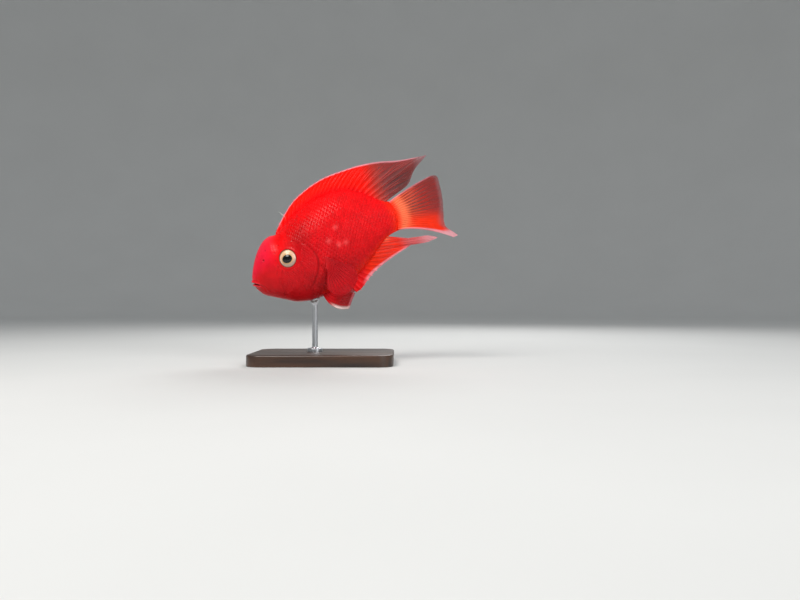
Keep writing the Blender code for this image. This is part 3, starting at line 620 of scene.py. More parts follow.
def flesh_colour(places):
    """Colour of the skin and of the scales on it."""
    s, y, h = np.moveaxis(places, -1, 0)
    level = level_at(s, h)
    side_view = settle((np.abs(y) - 1) / 3)
    off_ridge = y / np.maximum(half_width(s), 0.5)
    # where the painted highlight runs along the ridge of the forehead
    ridge = 0.3 * bump(off_ridge, 0.55) + 0.3 * bump(off_ridge, 0.25)
    rear = s + 0.013 * (h - 12) ** 2
    keel = settle((0.12 - level) / 0.1) * (1 - settle((np.abs(s - 92) - 30) / 16))
    _, rear_edge, v = gill_edges(h)
    apart, share = mouth_distance(places)
    colour = paint(
        # lighter on the back and darker low down: partly own tone, partly painted light from above
        # and painted shade below
        mix(RED_BELLY, RED_FLANK, settle((level - 0.02) / 0.5)),
        (RED_BACK, settle((level - 0.45) / 0.45)),
        (RED_REAR, 0.8 * settle((s - 62) / 40) * settle((level + 0.2) / 0.5)),
        # darker lower head: partly own tone, partly painted shade
        (RED_CHEEK, 0.6 * settle((50 - s) / 20) * settle((0.75 - level) / 0.4)),
        # rose brow: partly own tint, partly painted sheen; the rim colour along the brow's ridge is
        # a painted highlight
        (ROSE_BROW, 0.6 * settle((29 - s) / 13) * settle((level - 0.4) / 0.4)),
        (ROSE_RIM_SHEEN, ridge * settle((30 - s) / 8) * settle((h + 4) / 6)),
        (SHADOW, 0.4 * bump(np.hypot(s - 47, (h - 16) / 1.3), 10.0)),
        (SHADOW, 0.14 * bump(np.hypot((s - 56) / 1.3, h - 27), 10.0)),
        (SHADOW, 0.35 * bump(pore_distance(s, h), 0.5) * (np.abs(y) > 2)),
        # painted highlights of a few scales on the left flank
        *((PINK_GLINT, 0.6 * bump(np.hypot(s - a, h - b), 1.8) * (y < 0)) for a, b in GLINT_SPOTS),
        (ORANGE, 0.8 * settle((rear - 117) / 9)),
        (PEACH, 0.7 * settle((rear - 124.5) / 5)),
        (ORANGE, 0.45 * keel),
        (SHADOW, 0.45 * bump(s - rear_edge - 0.6, 0.7) * arch(v) * side_view),
        (LIP, 0.6 * bump(np.abs(apart) - 1.1, 1.0) * settle((9 - s) / 4)),
        (SHADOW, 0.85 * bump(apart, 0.5) * (share < 1)),
    )
    for side in (-1, 1):
        # painted shade in the sunken socket round each eye and in each nostril pit
        socket = settle((EYE_OPENING + 0.05 - eye_share(places, side)) / 0.06)
        nostril = bump(nostril_distance(places, side), 0.8)
        colour = paint(colour, (SOCKET_SHADE, 0.75 * socket), (SHADOW, 0.7 * nostril))
    return colour


def skin_places(s, angle):
    """Places on the plain body and its outward normals, for grids of stations and angles."""
    places = body_place(s, angle)
    near = 1e-3
    along = body_place(s + near, angle) - body_place(s - near, angle)
    around = body_place(s, angle + near) - body_place(s, angle - near)
    normal = unit(np.cross(around, along))
    outward = places - np.stack([s, 0 * s, section(s)[0]], -1)
    return places, normal * np.sign((normal * outward).sum(-1))[..., None]


def stalk_end(angle):
    """Station where the skin ends at each angle round the section."""
    return STALK_END + STALK_BULGE * np.sin(angle) ** 2


def narrowing(s, angle):
    """How much of its width the tail stalk keeps where it thins towards the tail fin."""
    share = (s - SNOUT_STATION) / (stalk_end(angle) - SNOUT_STATION)
    return 1 - 0.7 * settle((share - 0.955) / 0.045)


def build_skin(finish):
    share = (ring_stations() - SNOUT_STATION) / (STALK_END - SNOUT_STATION)
    angles = full_turn(SKIN_SIDES)
    s = SNOUT_STATION + share[:, None] * (stalk_end(angles)[None] - SNOUT_STATION)
    places, normal = skin_places(s, np.broadcast_to(angles, s.shape))
    shown = places + normal * skin_rise(places)[..., None]
    shown[..., 1] *= narrowing(s, angles)
    tips = np.array([(SNOUT_STATION, 0, SNOUT_HEIGHT), shown[-1].mean(0)])
    tint = flesh_colour(np.concatenate([places.reshape(-1, 3), tips]))
    return tube("skin", shown, tips, finish, tint)


# Scales

lateral_upper = curve(((46.0, 13.0), (56.0, 21.0), (70.0, 26.5), (84.0, 27.5), (98.0, 25.0)))
lateral_lower = curve(((90.0, 13.0), (106.0, 13.2), (122.0, 12.2)))


def section_angles():
    """Angle round the section at station s and an arc above the middle of the flank."""
    first, last = SCALE_GROWTH[0][0], SCALE_GROWTH[-1][0]
    middle = 90
    parts = 120
    stations = np.linspace(first, last, last - first + 1)
    angles = np.linspace(0, math.pi, 2 * middle + 1)
    drawn = body_place(stations[:, None], angles[None])
    steps = np.linalg.norm(np.diff(drawn, axis=1), axis=-1)
    length = np.concatenate([np.zeros((len(stations), 1)), np.cumsum(steps, 1)], 1)
    shares = np.linspace(0, 1, parts + 1)
    table = np.array([np.interp(shares * row[-1], row, angles) for row in length])

    def angle(s, arc):
        whole = np.interp(s, stations, length[:, -1])
        share = (np.interp(s, stations, length[:, middle]) - arc) / whole
        i = np.clip(s - first, 0, last - first - 0.001)
        j = np.clip(share, 0, 1) * (parts - 0.001)
        a = i.astype(int)
        b = j.astype(int)
        low = table[a, b] * (1 - (j - b)) + table[a, b + 1] * (j - b)
        high = table[a + 1, b] * (1 - (j - b)) + table[a + 1, b + 1] * (j - b)
        return low * (1 - (i - a)) + high * (i - a), share

    return angle


def scale_places(size, first, last):
    """Stations, arcs and sizes of the scales in rows that are offset by half a scale."""
    growth = curve(SCALE_GROWTH)
    made = []
    s = first
    row = 0
    while True:
        grown = size * float(growth(s))
        for k in range(-60, 61):
            if (row + k) % 2 == 0:
                made.append((s, k * SCALE_PITCH * grown, grown))
        if s >= last:
            return np.array(made)
        s += SCALE_ALONG / 2 * grown
        row += 1


def into_trunk(s, h):
    """How far a place lies behind the front of the trunk's scales."""
    _, rear, v = gill_edges(h)
    behind_cover = s - rear - 1.0
    behind_nape = (s - 44.5 + (h - GILL_TOP[1]) * 1.05) / 1.45
    behind_throat = s - 42.0
    return np.where(v < 0, behind_nape, np.where(v > 1, behind_throat, behind_cover))


def into_cheek(s, h, share_of_eye):
    """How far a place lies inside the scales of the gill cover or of the cheek before it."""
    front, rear, v = gill_edges(h)
    deep = GILL_TOP[1] - GILL_FOOT[1]
    cover = np.minimum(s - front - 1.2, rear - 1.3 - s)
    cover = np.minimum(cover, deep * np.minimum(v - 0.04, 0.97 - v))
    crease = crease_distance(s, h, CHEEK_CREASE)
    under = h + 21.5 - 0.35 * (s - 24)
    cheek = np.minimum.reduce([-0.8 - crease, s - 21, 3 - h, under, (share_of_eye - 1.2) * 8])
    return np.maximum(cover, cheek)


def line_distance(s, h):
    """Side-view distance from the two parts of the lateral line."""
    upper = np.where((s > 49) & (s < 98), np.abs(h - lateral_upper(s)), 99)
    lower = np.where((s > 92) & (s < 122), np.abs(h - lateral_lower(s)), 99)
    return np.minimum(upper, lower)


def scales(name, side, finish, chance):
    """The scales of one side as one piece, each a closed thin shield rooted in the skin."""
    right_angle = section_angles()

    def angle_of(s, arc):
        angle, share = right_angle(s, arc)
        return angle if side > 0 else 2 * math.pi - angle, share

    u = np.linspace(0, 1, 5)[:, None]
    w = np.linspace(-1, 1, 7)[None]
    along = -0.72 + (1.06 + 0.42 * np.sqrt(1 - 0.92 * w**2)) * u
    across = w * (0.84 + 0.2 * u)
    large = -0.3 + (0.3 + SCALE_LIFT) * u**0.8 - 0.05 * w**2
    small = -0.14 + (0.14 + CHEEK_SCALE_LIFT) * u**0.6 - 0.02 * w**2
    pore_tube = 0.3 * bump(w, 0.2) * settle(u / 0.3) * settle((1 - u) / 0.2)
    grids = []
    tints = []
    bakes = []
    for size, first, last, raised, body in (
        (1.0, 27.0, 126.0, large, True), (CHEEK_SCALE, 21.0, 60.0, small, False)
    ):
        spots = scale_places(size, first, last)
        angle, share = angle_of(spots[:, 0], spots[:, 1])
        centre = body_place(spots[:, 0], angle)
        s, _, h = centre.T
        inside = into_trunk(s, h) if body else into_cheek(s, h, eye_share(centre, side))
        kept = (inside > 0) & (share > 0.012) & (share < 0.988)
        spots = spots[kept]
        s, _, h = centre[kept].T
        on_cover = body & (np.abs(h + 6) < 17)
        faded = np.where(on_cover, 1.0, settle(inside[kept] / (8 if body else 3)))
        faded = (faded * settle((130 - s) / 10))[:, None, None]
        on_line = (body & (line_distance(s, h) < 0.5 * SCALE_PITCH))[:, None, None]
        each = (len(spots), 1, 1)
        root_s, arc, grown = spots.T[..., None, None]
        turn = chance.normal(0, 0.05, each)
        grown = grown * chance.normal(1, 0.03, each)
        ahead = along * np.cos(turn) * SCALE_ALONG - across * np.sin(turn) * SCALE_PITCH
        aside = along * np.sin(turn) * SCALE_ALONG + across * np.cos(turn) * SCALE_PITCH
        s = root_s + ahead * grown
        angle, _ = angle_of(s, arc + aside * grown)
        places, normal = skin_places(s, angle)
        free = small * (0.7 + 0.3 * faded) + (raised - small) * faded
        height = skin_rise(places) + free * chance.normal(1, 0.12, each) + on_line * pore_tube
        outer = places + normal * height[..., None]
        outer[..., 1] *= narrowing(s, angle)
        inner = outer - normal * SCALE_THICKNESS
        # each scale gets painted shade at its root, under the scale before it, and painted light
        # towards its free edge, besides a random tone of its own
        tone = chance.normal(1, 0.045, each) * (1 + faded * (0.22 * u**2 - 0.16))
        colour = np.clip(flesh_colour(places) * tone[..., None], 0, 1)
        grids.append(np.stack([outer, inner], 1))
        tints.append(np.stack([colour, colour], 1))
        root = np.stack([spots[:, 0] / OFBAKE_LENGTH, angle[:, 2, 3] / (2 * math.pi)], -1)
        patch = np.stack([u + 0 * w - 0.5, 0.5 * w + 0 * u], -1) * OFBAKE_PATCH
        flat = root[:, None, None] + patch[None]
        bakes.append(np.stack([flat, flat], 1))
    grids = np.concatenate(grids)
    one_points, one_faces = plate(grids[0, 0], grids[0, 1])
    step = len(one_points) * np.arange(len(grids))[:, None, None]
    points = grids.reshape(-1, 3)
    faces = (one_faces[None] + step).reshape(-1, 4)
    made = piece(name, points, (faces,), finish, np.concatenate(tints).reshape(-1, 3))
    bake = made.data.uv_layers.new(name="OFBake")
    corner = np.zeros(len(made.data.loops), int)
    made.data.loops.foreach_get("vertex_index", corner)
    bake.data.foreach_set("uv", np.concatenate(bakes).reshape(-1, 2)[corner].ravel())
    return made


# Fins: nearly the roots and edges of the solids, with finer rays that fork towards the edge

DORSAL_RAYS = 26
DORSAL_ROOTS = (
    (0.0, 28.8), (0.12, 41.0), (0.3, 58.0), (0.5, 77.0), (0.68, 94.0), (0.78, 102.0),
    (0.86, 108.5), (0.92, 113.5), (1.0, 119.8),
)
DORSAL_EDGE = (
    (0.0, 29.2, 28.6), (0.06, 35.2, 35.7), (0.14, 47.4, 46.4), (0.26, 62.9, 54.2),
    (0.38, 77.8, 58.3), (0.52, 95.0, 59.4), (0.66, 112.0, 58.9), (0.76, 128.0, 56.5),
    (0.82, 144.0, 52.7), (0.86, 163.0, 50.3),
)
DORSAL_REAR = ((0.9, 151.0, 42.8), (0.95, 142.0, 32.8), (1.0, 131.4, 28.6))
SPINES_END = 0.62
SPINE_PROUD = 0.9
FREE_SPINE = ((43.2, 32.6), (41.0, 36.4), (38.9, 40.2), (36.7, 43.9))

ANAL_RAYS = 15
ANAL_ROOTS = ((0.0, 72.0), (0.25, 82.0), (0.5, 93.0), (0.72, 102.0), (0.88, 108.0), (1.0, 112.6))
ANAL_EDGE = (
    (0.0, 75.8, -36.8), (0.08, 79.8, -35.9), (0.2, 86.6, -31.3), (0.38, 98.0, -24.3),
    (0.54, 113.4, -18.5), (0.63, 124.8, -15.4), (0.69, 132.5, -13.5), (0.75, 143.0, -16.0),
    (0.777, 151.8, -15.0),
)
ANAL_REAR = ((0.85, 143.5, -10.9), (0.92, 133.0, -9.8), (1.0, 120.9, -4.7))
ANAL_SPINES_END = 0.45

TAIL_RAYS = 17
TAIL_EDGE = (
    (0.0, 161.0, 33.8), (0.08, 165.0, 32.8), (0.25, 165.9, 24.5), (0.45, 164.4, 12.5),
    (0.65, 161.3, 0.5), (0.78, 160.0, -5.0), (0.86, 160.4, -9.4), (0.92, 163.3, -13.2),
    (0.98, 167.4, -18.4),
)
TAIL_FOOT = ((1.0, 163.4, -18.9),)
TAIL_ROOT_SHARE = 0.96
TAIL_UPPER_LIFT = 2.1
TAIL_LOWER_LIFT = 6.6

PELVIC_RAYS = 6
PELVIC_ROOT = (50.4, 57.0)
PELVIC_SIDE = 4.6
PELVIC_EDGE = (
    (0.0, 65.8, -47.4), (0.25, 68.3, -44.4), (0.5, 70.6, -41.4), (0.75, 72.8, -39.0),
    (1.0, 74.6, -36.6),
)
PELVIC_SPLAY = 3.2

PECTORAL_RAYS = 12
PECTORAL_ROOT = ((63.6, -3.2), (62.6, -12.2))
PECTORAL_EDGE = (
    (0.0, 81.5, -18.0), (0.2, 82.0, -25.5), (0.45, 76.5, -33.0), (0.7, 68.0, -36.4),
    (0.88, 60.5, -34.0), (1.0, 56.6, -28.0),
)
PECTORAL_FLARE = 5.0
PECTORAL_CUP = 3.6

ROOT_SUNK = 1.3
RIPPLE_ALONG = 0.11
RIPPLE_UP = 0.09


def split(first, second):
    """A curve through the first points, and another from the last of them through the rest."""
    one = curve(first)
    two = curve((first[-1], *second))
    return lambda t: np.where((t <= first[-1][0])[..., None], one(t), two(t))


def ripple(edge, size, start, reach):
    x = edge[..., 0]
    z = edge[..., 1]
    y = size * settle((x - start) / reach) * np.sin(x * RIPPLE_ALONG + z * RIPPLE_UP)
    return np.stack([x, y, z], -1)


def bowed(root, tip, bow):
    """The bend of each ray, a little off the middle of the line from its root to its tip."""
    def bend(t):
        way = tip(t) - root(t)
        middle = root(t) + way / 2
        middle[..., 1] *= 0.6
        return middle + way * (bow[0], 0, bow[1])

    return bend


def height_under(s, y):
    """Height of the belly side of the skin at station s and distance y from the middle."""
    middle, half = section(s)
    sine = np.minimum(np.abs(y) / half_width(s), 1.0) ** (1 / keel_below(s))
    return middle - half * np.sqrt(1 - sine**2)


@dataclass
class Fin:
    """A fin drawn by its rays: root, bend and tip by share t along it, v out to the edge."""

    root: object
    bend: object
    tip: object
    rays: np.ndarray
    spines_end: float
    half: object
    ridge: object

    def place(self, t, v):
        v = v[..., None]
        return self.root(t) * (1 - v) ** 2 + self.bend(t) * 2 * v * (1 - v) + self.tip(t) * v * v

    def normal(self, t, v):
        near = 2e-3
        t0 = np.maximum(t - near, 0)
        t1 = np.minimum(t + near, 1)
        inner = np.minimum(v, 0.97)
        along = self.place(t1, inner) - self.place(t0, inner)
        out = self.place(t, inner + 0.02) - self.place(t, inner - 0.02)
        return unit(np.cross(along, out))

    def columns(self, v):
        """Share along the fin and height on its ray for each column and row."""
        v = v[:, None]
        valley = 0 * v
        fork = settle((v - 0.22) / 0.25)
        spread = settle((v - 0.55) / 0.3)
        half = (self.rays[1] - self.rays[0]) / 2
        shares = [valley]
        heights = [valley]
        for at in self.rays:
            if at < self.spines_end:
                x = np.array((-1, -0.6, 0, 0.6, 1.0))
                offset = (0.36 - 0.24 * v) * x
                height = np.sqrt(1 - x**2) + valley
            else:
                x = np.linspace(-1, 1, 12)
                pair = np.where(x < 0, -1, 1)
                within = np.tile(np.linspace(-1, 1, 6), 2)
                four = np.repeat((-0.66, -0.22, 0.22, 0.66), 3)
                three = np.tile((-1.0, 0.0, 1.0), 4)
                at_fork = 0.3 * pair + 0.2 * within
                offset = 0.32 * x + (at_fork - 0.32 * x) * fork
                offset = offset + (four + 0.12 * three - offset) * spread
                height = np.sqrt(1 - x**2) * (1 - fork) + np.sqrt(1 - within**2) * fork
                height = height * (1 - spread) + (1 - np.abs(three)) * spread
            shares += [at + half * offset, at + half + valley]
            heights += [height, valley]
        shares[-1] = 1 + valley
        share = np.clip(np.concatenate(shares, 1), 0, 1)
        return np.maximum.accumulate(share, axis=1), np.concatenate(heights, 1)

    def build(self, name, rows, finish, colour):
        v = np.linspace(0, 1, rows)
        t, ray = self.columns(v)
        v = v[:, None] + 0 * t
        at = self.place(t, v)
        length = np.linalg.norm(self.tip(t) - self.root(t), axis=-1)
        spiny = settle((self.spines_end - t) / 0.06)
        fringe = SPINE_PROUD * ray * spiny - 0.35 * (1 - ray) * spiny
        fringe = fringe + 0.3 * (ray - 0.5) * (1 - spiny)
        out = unit(self.tip(t) - self.bend(t))
        at = at + out * (fringe * v**6)[..., None]
        joints = 0.3 * bump((v * length / 1.3) % 1 - 0.5, 0.14) * (1 - spiny) * settle(v / 0.15)
        half = self.half(t, v) + self.ridge(t, v) * ray * (1 - joints)
        normal = self.normal(t, v)
        points, faces = plate(at + normal * half[..., None], at - normal * half[..., None])
        shown, whole = colour(at, t, v, ray, (1 - v) * length)
        opacity = 1 - np.sqrt(1 - np.clip(whole, 0, 0.999))
        tint = np.concatenate([shown, opacity[..., None]], -1).reshape(-1, 4)
        return piece(name, points, (faces,), finish, np.concatenate([tint, tint]))


def tapered(first, last, edge):
    """Half the thickness of a fin, from the front and rear of its root to its edge."""
    def half(t, v):
        thinned = settle(v * 1.15)
        return (first + (last - first) * settle(t)) * (1 - thinned) + edge * thinned

    return half


def fading(root, tip):
    return lambda t, v: root + (tip - root) * v


def midline_fin(roots, outline, edge, sunk, wave, bow, rays, spines_end, thick):
    """A fin that stands on the line of the back or of the belly."""
    roots = curve(roots)

    def root(t):
        s = roots(t)
        return np.stack([s, 0 * s, outline(s) + sunk], -1)

    def tip(t):
        return ripple(edge(t), *wave)

    return Fin(
        root, bowed(root, tip, bow), tip, rays, spines_end,
        tapered(thick, 0.9, 0.16), fading(0.42, 0.16),
    )


def dorsal():
    return midline_fin(
        DORSAL_ROOTS, back, split(DORSAL_EDGE, DORSAL_REAR), -ROOT_SUNK, (0.9, 100, 50),
        (-0.06, 0.1), np.linspace(0.012, 0.99, DORSAL_RAYS), SPINES_END, 1.5,
    )


def anal():
    return midline_fin(
        ANAL_ROOTS, belly, split(ANAL_EDGE, ANAL_REAR), ROOT_SUNK, (0.7, 100, 40),
        (-0.05, 0.06), np.linspace(0.015, 0.985, ANAL_RAYS), ANAL_SPINES_END, 1.4,
    )


def tail():
    edge = split(TAIL_EDGE, TAIL_FOOT)

    def root(t):
        c = TAIL_ROOT_SHARE * (1 - 2 * t)
        s = STALK_END + STALK_BULGE * (1 - c * c) - 2.0
        middle, half = section(s)
        return np.stack([s, 0 * s, middle + half * c], -1)

    def tip(t):
        return ripple(edge(t), 1.4, 135, 30)

    def bend(t):
        middle = (root(t) + tip(t)) / 2
        middle[..., 1] *= 0.5
        middle[..., 2] += TAIL_LOWER_LIFT * settle((t - 0.45) / 0.55)
        middle[..., 2] += TAIL_UPPER_LIFT * settle(1 - 2 * t)
        return middle

    rays = np.linspace(0.02, 0.98, TAIL_RAYS)
    return Fin(root, bend, tip, rays, 0.0, tapered(1.6, 1.6, 0.16), fading(0.34, 0.14))


def pelvic(side):
    edge = curve(PELVIC_EDGE)

    def root(t):
        s = PELVIC_ROOT[0] + (PELVIC_ROOT[1] - PELVIC_ROOT[0]) * t
        y = PELVIC_SIDE + 1.2 * t
        return np.stack([s, side * y, height_under(s, y) + 0.8], -1)

    def tip(t):
        at = edge(t)
        out = PELVIC_SIDE + PELVIC_SPLAY * (1 - 0.3 * t)
        return np.stack([at[..., 0], side * out, at[..., 1]], -1)

    def bend(t):
        bow = (1.0 - 0.9 * t)[..., None]
        return root(t) * 0.55 + tip(t) * 0.45 + bow * (-4.9, 0, -8.0)

    rays = np.linspace(0.04, 0.96, PELVIC_RAYS)
    return Fin(root, bend, tip, rays, 0.1, tapered(1.0, 0.6, 0.16), fading(0.4, 0.15))


def pectoral(side):
    edge = curve(PECTORAL_EDGE)

    def root(t):
        first, last = np.array(PECTORAL_ROOT)
        s = first[0] + (last[0] - first[0]) * t
        h = first[1] + (last[1] - first[1]) * t
        return np.stack([s - 1.2, side * (side_at(s - 1.2, h) + 0.3), h], -1)

    def tip(t):
        at = edge(t)
        lie = float(side_at(60.0, -8.0)) + PECTORAL_FLARE - 1.5 * np.abs(t - 0.5)
        return np.stack([at[..., 0], side * lie, at[..., 1]], -1)

    def bend(t):
        middle = root(t) * 0.6 + tip(t) * 0.4
        middle[..., 1] = side * (np.abs(root(t)[..., 1]) + PECTORAL_CUP)
        return middle

    rays = np.linspace(0.03, 0.97, PECTORAL_RAYS)
    return Fin(root, bend, tip, rays, 0.0, tapered(0.9, 0.9, 0.12), fading(0.26, 0.1))


# Colours of the fins; each gives a colour and the opacity of the membrane's two faces together

def dorsal_colour(at, t, v, ray, to_edge):
    s, _, h = np.moveaxis(at, -1, 0)
    lag = 0.1 * np.maximum(h - 40, 0)
    smoky = paint(
        mix(DUSKY_RED, DUSKY, settle((s - 118 - lag) / 9)),
        (DUSKY_DARK, settle((s - 117) / 22) * settle((54 - h) / 18)),
        (SMOKE, 0.55 * settle((3.5 - to_edge) / 3.5) * settle((s - 118) / 20)),
        (DUSKY_RAY, 0.55 * ray),
    )
    front = settle((t - 0.02) / 0.04) * (t < 0.87)
    colour = paint(
        mix(RED_BACK, DORSAL_RED, settle((h - back(s)) / 5)),
        (RUST, settle((s - 104 - lag) / 14)),
        (smoky, settle((s - 110 - lag) / 13)),
        # painted shade in the folds between the rays
        (PLEAT_SHADE, 0.25 * (1 - ray) * settle((s - 106) / 8) * settle(v / 0.2)),
        (PINK_EDGE, 0.85 * front * settle((2.4 - to_edge) / 1.4)),
        (ASH, 0.8 * settle((s - 148) / 10)),
    )
    return colour, 1 - settle((s - 112 - lag) / 14) * (0.12 - 0.1 * ray)


def tail_colour(at, t, v, ray, to_edge):
    s, _, h = np.moveaxis(at, -1, 0)
    low = settle((14 - h - 0.3 * (s - 142)) / 13)
    reach = s + 0.0175 * (h - 12) ** 2
    # where the folds between the rays take the deepest painted shade, across the middle of the tail
    pleat_shade = (1 - low) * bump(h - 12 - 0.1 * (s - 140), 12) * bump(s - 142, 14)
    warm = (0.2 + 0.7 * ray) * settle((150 - s) / 16)
    warm = warm + 0.95 * settle((139.2 - s - 0.03 * (h - 13) ** 2) / 7)
    inset = 4.5 + 2.5 * low
    colour = paint(
        mix(TAIL_RED, TAIL_DUSKY, settle((reach - 142) / 20)),
        (TAIL_ORANGE, low),
        # painted shade in the folds between the rays, deep in the middle of the tail and fainter
        # elsewhere
        (PLEAT_SHADE, 0.65 * (1 - ray) * pleat_shade),
        (PLEAT_SHADE, 0.3 * (1 - ray) * (1 - pleat_shade) * (1 - low) * settle((s - 130) / 8)),
        (PEACH, np.clip(warm, 0, 1) * (1 - 0.75 * low * settle((s - 134) / 5))),
        (ORANGE, 0.8 * settle((130.5 - reach) / 4)),
        (SMOKE, (0.75 - 0.1 * low) * settle((inset - to_edge) / (inset - 0.5))),
        (PINK_EDGE, 0.6 * settle((0.05 - t) / 0.03)),
        (PINK_EDGE, 0.85 * settle((t - 0.965) / 0.02) * settle((s - 122) / 8)),
        (ROSE_TIP, settle((-9.5 - h) / 4.5)),
    )
    clear = settle((s - 132) / 10) * (1 - 0.8 * low) * (1 - settle((-11 - h) / 3))
    clear = np.maximum(clear, settle((4 - to_edge) / 4) * (h > -9))
    return colour, 1 - clear * (0.12 - 0.08 * ray)


def anal_colour(at, t, v, ray, to_edge):
    s, _, h = np.moveaxis(at, -1, 0)
    colour = paint(
        mix(RED_REAR, ORANGE, settle((s - 84) / 12)),
        # painted shade in the folds between the rays
        (PLEAT_SHADE, 0.12 * (1 - ray) * settle((s - 88) / 12)),
        (PEACH, 0.9 * bump(np.hypot(s - 111.6, h + 2.4), 2.8)),
        (PINK_EDGE, 0.8 * settle((3.9 - to_edge) / 2.4) * settle((s - 82) / 8)),
        (FILAMENT, settle((s - 119) / 11)),
        (ROSE_TIP, 0.75 * settle((s - 132) / 14)),
        (WHITE_EDGE, 0.9 * ray * (v > 0.97) * settle((ANAL_SPINES_END - t) / 0.05)),
    )
    return colour, 1 - 0.1 * (1 - ray) * settle((s - 92) / 20)


def pelvic_colour(at, t, v, ray, to_edge):
    lead = 0.9 * settle((0.22 - t) / 0.14) * settle((v - 0.3) / 0.35)
    colour = paint(
        mix(PELVIC_RED, DUSKY_ROSE, 0.55 * settle((v - 0.35) / 0.5)),
        # painted shade in the folds between the rays
        (PLEAT_SHADE, 0.12 * (1 - ray) * settle((v - 0.2) / 0.3)),
        (PINK_EDGE, 0.6 * settle(1.2 - to_edge)),
        (PELVIC_WHITE, lead),
    )
    return colour, 1 - (0.14 - 0.1 * ray) * settle((v - 0.25) / 0.5) * (1 - lead)


def pectoral_colour(at, t, v, ray, to_edge):
    colour = mix(RED_CHEEK, FAN_RED, settle((v - 0.08) / 0.25))
    colour = mix(colour, FAN_RAY, 0.8 * ray)
    clear = settle((v - 0.05) / 0.3)
    thin = 0.14 + 0.1 * settle((v - 0.85) / 0.15)
    return colour, 1 - clear * thin * (1 - 0.65 * ray)


def free_spine(finish):
    """The foremost dorsal spine, clear of the membrane."""
    rings = 24
    path = along_line(FREE_SPINE, rings)
    turn = full_turn(14)
    way = unit(np.gradient(path, axis=0))
    radius = np.linspace(0.95, 0.16, rings)[:, None]
    ring_s = path[:, None, 0] - way[:, None, 1] * np.cos(turn) * radius
    ring_h = path[:, None, 1] + way[:, None, 0] * np.cos(turn) * radius
    grid = np.stack([ring_s, np.sin(turn) * radius, ring_h], -1)
    up = np.append(np.repeat(np.linspace(0, 1, rings), len(turn)), (0, 1))
    tint = mix(DORSAL_RED, SPINE_GREY, settle((up - 0.42) / 0.25))
    return tube("free_spine", grid, grid[[0, -1]].mean(1), finish, tint)


# Eyes

def build_eye(name, side, finish):
    """One eye: a slightly sunken iris ring round a domed pupil, under a wet surface."""
    along, up, out = eye_axes(side)
    centre = eye_centre(side)
    polar = math.pi * (np.arange(1, EYE_RINGS) / EYE_RINGS)[:, None]
    turn = full_turn(EYE_SIDES)[None]
    a = np.sin(polar) * np.cos(turn)
    b = np.sin(polar) * np.sin(turn)
    front = np.cos(polar) > 0
    pupil = np.hypot((a - PUPIL_SHIFT[0]) / PUPIL_HALF[0], (b - PUPIL_SHIFT[1]) / PUPIL_HALF[1])
    radius = np.hypot(a, b)
    dent = np.where(front, -0.22 * settle((1.06 - radius) / 0.2), 0.0)
    dent += front * (0.16 * bump(pupil - 1.06, 0.1) + 0.42 * settle(1.02 - pupil**2))
    depth = EYE_HALF[2] * np.cos(polar) + dent
    flat = along * (EYE_HALF[0] * a)[..., None] + up * (EYE_HALF[1] * b)[..., None]
    poles = centre + np.array([out * (EYE_HALF[2] + 0.2), -out * EYE_HALF[2]])
    streak = 1 + 0.07 * np.sin(turn * 41 + 3 * np.sin(turn * 7)) * settle(radius / 0.5)
    colour = paint(
        CREAM * streak[..., None],
        (EYE_SHADE, 0.75 * settle((-0.1 - b) / 0.4)),
        (IRIS_TOP, 0.8 * settle((b - 0.1) / 0.5)),
        (GOLD, 0.85 * bump(pupil - 1.12, 0.1)),
        (EYE_RIM, settle((radius - EYE_OPENING + 0.1) / 0.06)),
        (BLACK, settle((1.03 - pupil) / 0.06)),
    )
    # the hidden back of the eye takes the socket's painted shade
    tint = np.concatenate([colour.reshape(-1, 3), [BLACK, SOCKET_SHADE]])
    return tube(name, centre + flat + out * depth[..., None], poles, finish, tint)


# Stand

def upright_piece(name, rings, finish):
    """A closed smooth piece through rings of the same count, drawn in the world's millimetres."""
    grid = from_world(np.array(rings))
    made = tube(name, grid, grid[[0, -1]].mean(1), finish)
    made.data.set_sharp_from_angle(angle=math.radians(40))
    return made


def rounded_ring(inset, z):
    """A ring of the base: a rectangle with round corners, drawn in from its full size."""
    made = []
    for turn, x, y in ((0, 1, 1), (90, -1, 1), (180, -1, -1), (270, 1, -1)):
        angle = np.radians(turn + np.linspace(0, 90, 16))
        ring_x = x * (BASE_HALF[0] - BASE_CORNER) + (BASE_CORNER - inset) * np.cos(angle)
        ring_y = y * (BASE_HALF[1] - BASE_CORNER) + (BASE_CORNER - inset) * np.sin(angle)
        made.append(np.stack([ring_x, ring_y, z + 0 * angle], -1))
    return np.concatenate(made)


def build_base(finish):
    rings = [rounded_ring(0.5, 0.0), rounded_ring(0.0, 0.5)]
    for turn in np.radians(np.linspace(0, 90, 7)):
        drop = BASE_EDGE * (1 - math.sin(turn))
        rings.append(rounded_ring(BASE_EDGE * (1 - math.cos(turn)), BASE_HEIGHT - drop))
    return upright_piece("base", rings, finish)


def belly_above(x, y):
    """Height in the world where the upright line at x, y meets the underside of the body."""
    low = np.full(x.shape, BASE_HEIGHT)
    high = low + 80
    for _ in range(40):
        z = (low + high) / 2
        at = from_world(np.stack([x, y, z], -1))
        s, side, h = at[..., 0], np.abs(at[..., 1]), at[..., 2]
        inside = (h > belly(s)) & (h < back(s)) & (side < side_at(s, h))
        high = np.where(inside, z, high)
        low = np.where(inside, low, z)
    return low


